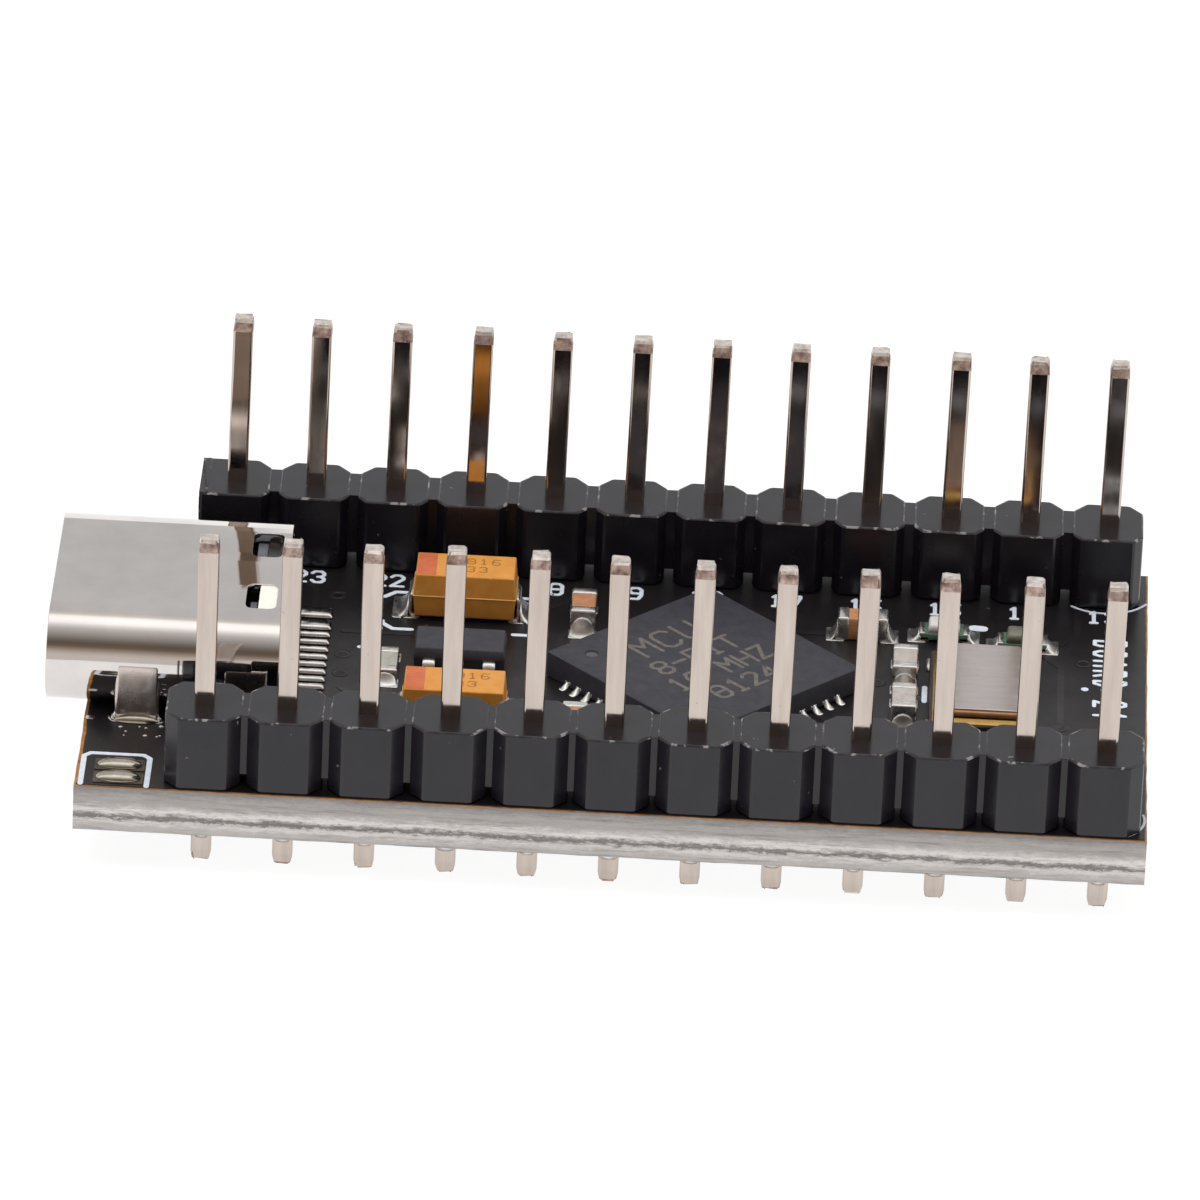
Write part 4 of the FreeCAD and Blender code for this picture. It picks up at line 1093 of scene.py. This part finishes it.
BROWN, GREY = (CERAMIC_BROWN, "capacitor_brown"), (CERAMIC_GREY, "capacitor_grey")
BLACK = (RESISTOR, "resistor_black")
CHIPS = {"supply_capacitor": BROWN, "core_capacitor": BROWN, "load_capacitor_rear": GREY,
         "load_capacitor_front": GREY, "decoupling_capacitor": BROWN, "fuse": (FUSE, "fuse_grey"),
         "series_resistor_left": BLACK, "series_resistor_right": BLACK, "cc_resistor_left": BLACK,
         "cc_resistor_right": BLACK, "reset_resistor": BLACK, "led_resistor": BLACK}
CHIP_HALF_LONG, CHIP_HALF_WIDE = 0.8, 0.4


def chip_frame(terminals):
    """Placement of a chip and level of its top, from its terminals."""
    low, high = extent(terminals)
    upright = high.y - low.y > high.x - low.x
    centre = (low + high) / 2
    return turned(centre.x, centre.y, 90 if upright else 0), high.z


def note_chip_lands(place, rise, reach=0.34):
    """Note the land and the fillet at both ends of a chip."""
    for sign in (-1, 1):
        facing = place @ turned(0, 0, 90 - 90 * sign)
        FILLETS.append((facing @ Matrix.Translation((0.79, 0, DECK)), 0.8, rise, reach))
        land = facing @ Vector((0.86, 0, 0))
        across = facing.to_3x3() @ Vector((0.3, 0.45, 0))
        LANDS.append((land.x, land.y, abs(across.x), abs(across.y)))


def end_block(sign, near, far, half_wide, low, high, edge, corner):
    """Block at one end of a chip, between two distances from its middle."""
    low_x, high_x = sorted((sign * near, sign * far))
    return block((low_x, -half_wide, low), (high_x, half_wide, high), edge, corner)


def make_chip(name):
    """Ceramic chip between two caps with slightly bowed inner edges."""
    material, slot = CHIPS[name]
    place, top = chip_frame(name + "_terminals")
    body = Piece(name + "_core", material, ALUMINA)
    if slot == "resistor_black":
        body.add(block((-0.6, -0.39, DECK + 0.02), (0.6, 0.39, top - 0.06), 0.02), 1, place)
        body.add(block((-0.5, -0.36, top - 0.09), (0.5, 0.36, top - 0.022), 0.03, 0.05), 0, place)
    else:
        body.add(block((-0.6, -0.375, DECK + 0.03), (0.6, 0.375, top - 0.03), 0.04, 0.06), 0, place)
    body.finish(slot, name + "_body")
    caps = Piece(name + "_caps", TIN)
    for sign in (-1, 1):
        cap = end_block(sign, 0.45, CHIP_HALF_LONG, CHIP_HALF_WIDE, DECK + 0.005, top, 0.06, 0.07)
        for vertex in cap.verts:
            if abs(vertex.co.x) < 0.5:
                vertex.co.x += sign * 0.035 * math.cos(vertex.co.y * 6)
        caps.add(cap, 0, place)
    caps.finish("terminal_tin", name + "_terminals")
    note_chip_lands(place, (top - DECK) * 0.72)


def make_led(name):
    """Laminate plate with a resin block and two folded terminals."""
    place, top = chip_frame(name + "_terminals")
    plate = Piece(name + "_plate", LED_PLATE)
    plate.add(block((-0.76, -0.4, DECK + 0.08), (0.76, 0.4, top), 0.02, 0.03), 0, place)
    plate.finish("led_plate", name + "_substrate")
    lens_top = extent(name + "_lens")[1].z
    lens = Piece(name + "_resin", LENS if name == "power_led" else SMOKED_LENS)
    levels = [(top - 0.005, 0.0), (lens_top - 0.08, 0.03), (lens_top - 0.02, 0.06), (lens_top, 0.12)]
    lens.add(block((-0.52, -0.38, top), (0.52, 0.38, lens_top), 0.05, 0.1, levels), 0, place)
    lens.finish("led_lens", name + "_lens")
    caps = Piece(name + "_caps", TIN)
    for sign in (-1, 1):
        for near, far, half_wide, low, high in (
                (0.45, CHIP_HALF_LONG, CHIP_HALF_WIDE, DECK + 0.005, top - 0.1),
                (0.6, 0.79, 0.37, DECK + 0.1, top + 0.02)):
            caps.add(end_block(sign, near, far, half_wide, low, high, 0.03, 0.05), 0, place)
    caps.finish("terminal_tin", name + "_terminals")
    note_chip_lands(place, 0.26)


def make_chip_joints():
    """Fillets noted for the chips, and the solder mounds at the crystal's corners."""
    piece = Piece("chip_fillets", SATIN_SOLDER)
    for facing, width, rise, reach in FILLETS:
        fillet = toe_fillet(width, rise * random.uniform(0.85, 1.05), reach * random.uniform(0.9, 1.05))
        piece.add(fillet, 0, facing)
    low, high = extent("crystal_base")
    for x in (low.x - 0.03, high.x + 0.03):
        for y in (low.y + 0.7, high.y - 0.2):
            profile = [(1.0, 0.0), (0.98, 0.06), (0.85, 0.12), (0.6, 0.17), (0.3, 0.2)]
            piece.add(loft([ring(x, y, 0.09 * share, 0.38 * share, 0.09 * share, DECK + up, 6)
                            for share, up in profile]))
    piece.finish("solder", "chip_solder")


def make_jumper():
    """Two domes of solder on their lands, side by side."""
    low, high = extent("jumper_solder")
    x = (low.x + high.x) / 2
    piece = Piece("jumper_domes", DULL_SOLDER, DULL)
    for sign in (-1, 1):
        y = (low.y + high.y) / 2 + sign * 0.42
        # Land under each dome, in the painted dark reflection.
        piece.add(block((x - 0.78, y - 0.35, DECK), (x + 0.78, y + 0.35, DECK + 0.03), 0.01, 0.06), 1)
        piece.add(dome(x, y, 0.72, 0.35, DECK + 0.01, 0.22))
    piece.finish("solder", "jumper_solder")


# ---------------------------------------------------------------- printed marks
def arc(x, y, radius, start, end, steps=12):
    """Points along a circle between two angles in degrees."""
    return [(x + radius * math.cos(math.radians(start + (end - start) * step / steps)),
             y + radius * math.sin(math.radians(start + (end - start) * step / steps)))
            for step in range(steps + 1)]


# Printed lines and dots, from the board's middle; a dot has a radius too.
OUTLINES = [
    [(-7.35, 5.0), (-6.95, 5.0)],
    [(-3.3, 5.0), (-2.95, 5.0)],
    [(-7.7, 3.0), (-7.7, 2.85), (-7.35, 2.5), (-6.75, 2.5)],
    [(-7.7, 4.65), (-7.35, 5.0)],
    [(-3.5, 2.5), (-2.6, 2.5)],
    [(-3.0, 5.0), (-2.6, 5.0)],
    [(-16.45, -8.8), (-16.45, -7.0), (-16.25, -6.8), (-14.6, -6.8), (-14.4, -7.0), (-14.4, -8.8)],
    [(9.6, 0.42), (9.6, -0.55)],
    [(-0.75, -0.35), (-0.75, -0.6)],
]
DOTS = [(-8.31, 1.15, 0.09), (14.66, 0.85, 0.12), (-10.6, -6.0, 0.12)]


REAR_LETTERS = (0.38, 0.74, 0.2, 0.13)
ROW_LETTERS = (0.46, 0.75, 0.22, 0.14)
END_LETTERS = (0.34, 0.98, 0.34, 0.13)
UNDER_LETTERS = (0.78, 1.3, 0.39, 0.2)


def make_print():
    """Ink on both faces of the board: outlines, pin numbers and generic lines of text."""
    top = Piece("print_top", SILK)
    levels = (DECK - 0.005, DECK + 0.018)
    for line in OUTLINES:
        print_line(top, [on_board(*point) for point in line], 0.17, *levels)
    for x, y, radius in DOTS:
        top.add(loft([disc(*on_board(x, y), radius, level, 16) for level in levels]))
    print_line(top, [on_board(11.1, 4.6), on_board(11.38, 4.58)], 0.36, *levels)
    for side, sweep in (("front", (1.33, -55, 15)), ("rear", (1.55, -132, -30))):
        print_line(top, arc(*pin_place(side, PINS - 1), *sweep), 0.08, *levels)
    for index in range(PINS):
        x, y = pin_place("rear", index)
        print_text(top, str(2 * PINS - index), turned(x - 0.03, y - 1.86, 0), REAR_LETTERS, levels)
        x, y = pin_place("front", index)
        print_text(top, str(1 + index), turned(x, y + 1.75, 0), ROW_LETTERS, levels)
    print_text(top, "BOARD 24", turned(*on_board(15.45, 1.62), -90), END_LETTERS, levels)
    top.finish("led_lens", sharp=35)
    under = Piece("print_under", SILK)
    levels = (UNDER - 0.018, UNDER + 0.005)
    for index in range(PINS):
        for side, inward, number in (("rear", -1, 2 * PINS - index), ("front", 1, 1 + index)):
            x, y = pin_place(side, index)
            place = turned(x, y + inward * 1.75, 0)
            print_text(under, str(number), place, ROW_LETTERS, levels, mirror=True)
    for text, along in (("24 PIN", 1.2), ("DEV BOARD", -1.2)):
        place = turned(*on_board(-10.5, along), 0)
        print_text(under, text, place, UNDER_LETTERS, levels, mirror=True)
    under.finish("led_lens", sharp=35)


# ---------------------------------------------------------------- hidden CAD pieces
def dress(name, material):
    """Give a carried-over CAD node its material."""
    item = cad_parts[name]
    item.data.materials.clear()
    item.data.materials.append(material)


# ---------------------------------------------------------------- floor, light and camera
def make_stage():
    """Pale glowing floor that is clear from below."""
    floor = bpy.data.objects.new("floor", bpy.data.meshes.new("floor"))
    plane = bmesh.new()
    bmesh.ops.create_grid(plane, x_segments=2, y_segments=2, size=1.5)
    plane.to_mesh(floor.data)
    plane.free()
    bpy.context.scene.collection.objects.link(floor)
    surface = Surface("pale_floor", specular=0.0)
    shade = surface.noise(8)
    surface.colour(surface.ramp(shade, (0.3, linear(116, 116, 116)), (0.7, linear(122, 122, 122))))
    surface.shader.inputs["Roughness"].default_value = 0.9
    surface.shader.inputs["Emission Color"].default_value = (1, 1, 1, 1)
    surface.shader.inputs["Emission Strength"].default_value = 0.92
    either = surface.node("MixShader", Fac=surface.node("NewGeometry").outputs["Backfacing"])
    surface.feed(either.inputs[1], surface.shader.outputs[0])
    surface.feed(either.inputs[2], surface.node("BsdfTransparent").outputs[0])
    surface.feed(surface.tree.nodes["Material Output"].inputs["Surface"], either.outputs[0])
    floor.data.materials.append(surface.material)


# Brightness and warmth of the studio by angle: 0 is the level in front, 90 straight above.
SKY = [(0, 0.74, 0.05), (12, 0.74, 0.08), (19, 0.62, 0.12), (26, 0.4, 0.18), (33, 0.19, 0.24),
       (40, 0.15, 0.22), (47, 0.21, 0.14), (54, 0.32, 0.08), (61, 0.43, 0.06), (68, 0.55, 0.04),
       (75, 0.7, 0.04), (83, 1.03, 0.02), (90, 1.45, 0.02), (98, 1.6, 0.02), (107, 1.45, 0.03),
       (114, 0.86, 0.05), (122, 0.7, 0.02), (155, 0.67, 0.0), (162, 1.15, 0.0), (180, 1.15, 0.0)]


def make_world():
    """Studio whose brightness follows the angle from the level in front, over the top, to the back."""
    world = bpy.data.worlds.new("studio")
    bpy.context.scene.world = world
    world.use_nodes = True
    sky = Nodes(world.node_tree)
    split = sky.node("SeparateXYZ", Vector=sky.place.outputs["Generated"])
    angle = sky.maths("ARCTAN2", split.outputs["Z"], sky.maths("MULTIPLY", split.outputs["Y"], -1.0))
    turn = sky.node("MapRange", Value=angle, From_Max=math.pi)
    stops = [(degrees / 180, (level, level * (1 - warmth), level * (1 - 1.8 * warmth), 1))
             for degrees, level, warmth in SKY]
    background = world.node_tree.nodes["Background"]
    sky.feed(background.inputs["Color"], sky.ramp(turn.outputs[0], *stops))
    background.inputs["Strength"].default_value = 1.0


def make_light(name, place, size, power):
    """Square soft light aimed at the origin, unseen in reflections."""
    light = bpy.data.lights.new(name, "AREA")
    light.size = size
    light.energy = power
    item = bpy.data.objects.new(name, light)
    item.location = place
    item.rotation_euler = (-Vector(place)).to_track_quat("-Z", "Y").to_euler()
    item.visible_glossy = False
    bpy.context.scene.collection.objects.link(item)


def make_camera():
    """Long lens from the front and above, rolled a little."""
    azimuth, elevation, roll = (math.radians(angle) for angle in (-1.04, 27.71, 2.52))
    forward = Vector((math.sin(azimuth) * math.cos(elevation), math.cos(azimuth) * math.cos(elevation),
                      -math.sin(elevation)))
    level_right = Vector((math.cos(azimuth), -math.sin(azimuth), 0))
    level_up = level_right.cross(forward)
    right = math.cos(roll) * level_right + math.sin(roll) * level_up
    up = -math.sin(roll) * level_right + math.cos(roll) * level_up
    target = Vector((CENTRE.x, CENTRE.y, DECK))
    place = target - forward * 415.4 + right * -0.65 + up * 2.46
    data = bpy.data.cameras.new("camera")
    data.lens = 394.8
    data.sensor_width = 36
    data.clip_start = 0.01
    camera = bpy.data.objects.new("camera", data)
    turn = Matrix((right, up, -forward)).transposed().to_4x4()
    camera.matrix_world = Matrix.Translation(place * MM) @ turn
    bpy.context.scene.collection.objects.link(camera)
    bpy.context.scene.camera = camera


def main():
    """Build the board from the sheet up, then the studio."""
    make_board()
    make_tracks()
    for side in HEADERS:
        make_housing(side)
        make_pins(side)
        make_pin_joints(side)
    make_shell()
    make_insert()
    make_contacts()
    make_leg_solder()
    make_mcu()
    make_crystal()
    make_regulator()
    for name in ("input_tantalum", "output_tantalum"):
        make_tantalum(name)
    for name in CHIPS:
        make_chip(name)
    for name in ("power_led", "signal_led"):
        make_led(name)
    make_chip_joints()
    make_jumper()
    make_lands()
    make_print()
    for name, material in (("usb_mid_plate", SHELL), ("mcu_thermal_pad", TIN), ("mcu_die", SILICON),
                           ("crystal_blank", QUARTZ)):
        dress(name, material)
    make_stage()
    make_world()
    make_light("key", (-0.1, -0.12, 0.6), 0.35, 1.4)
    make_camera()
    bpy.context.scene.view_settings.view_transform = "Standard"


main()
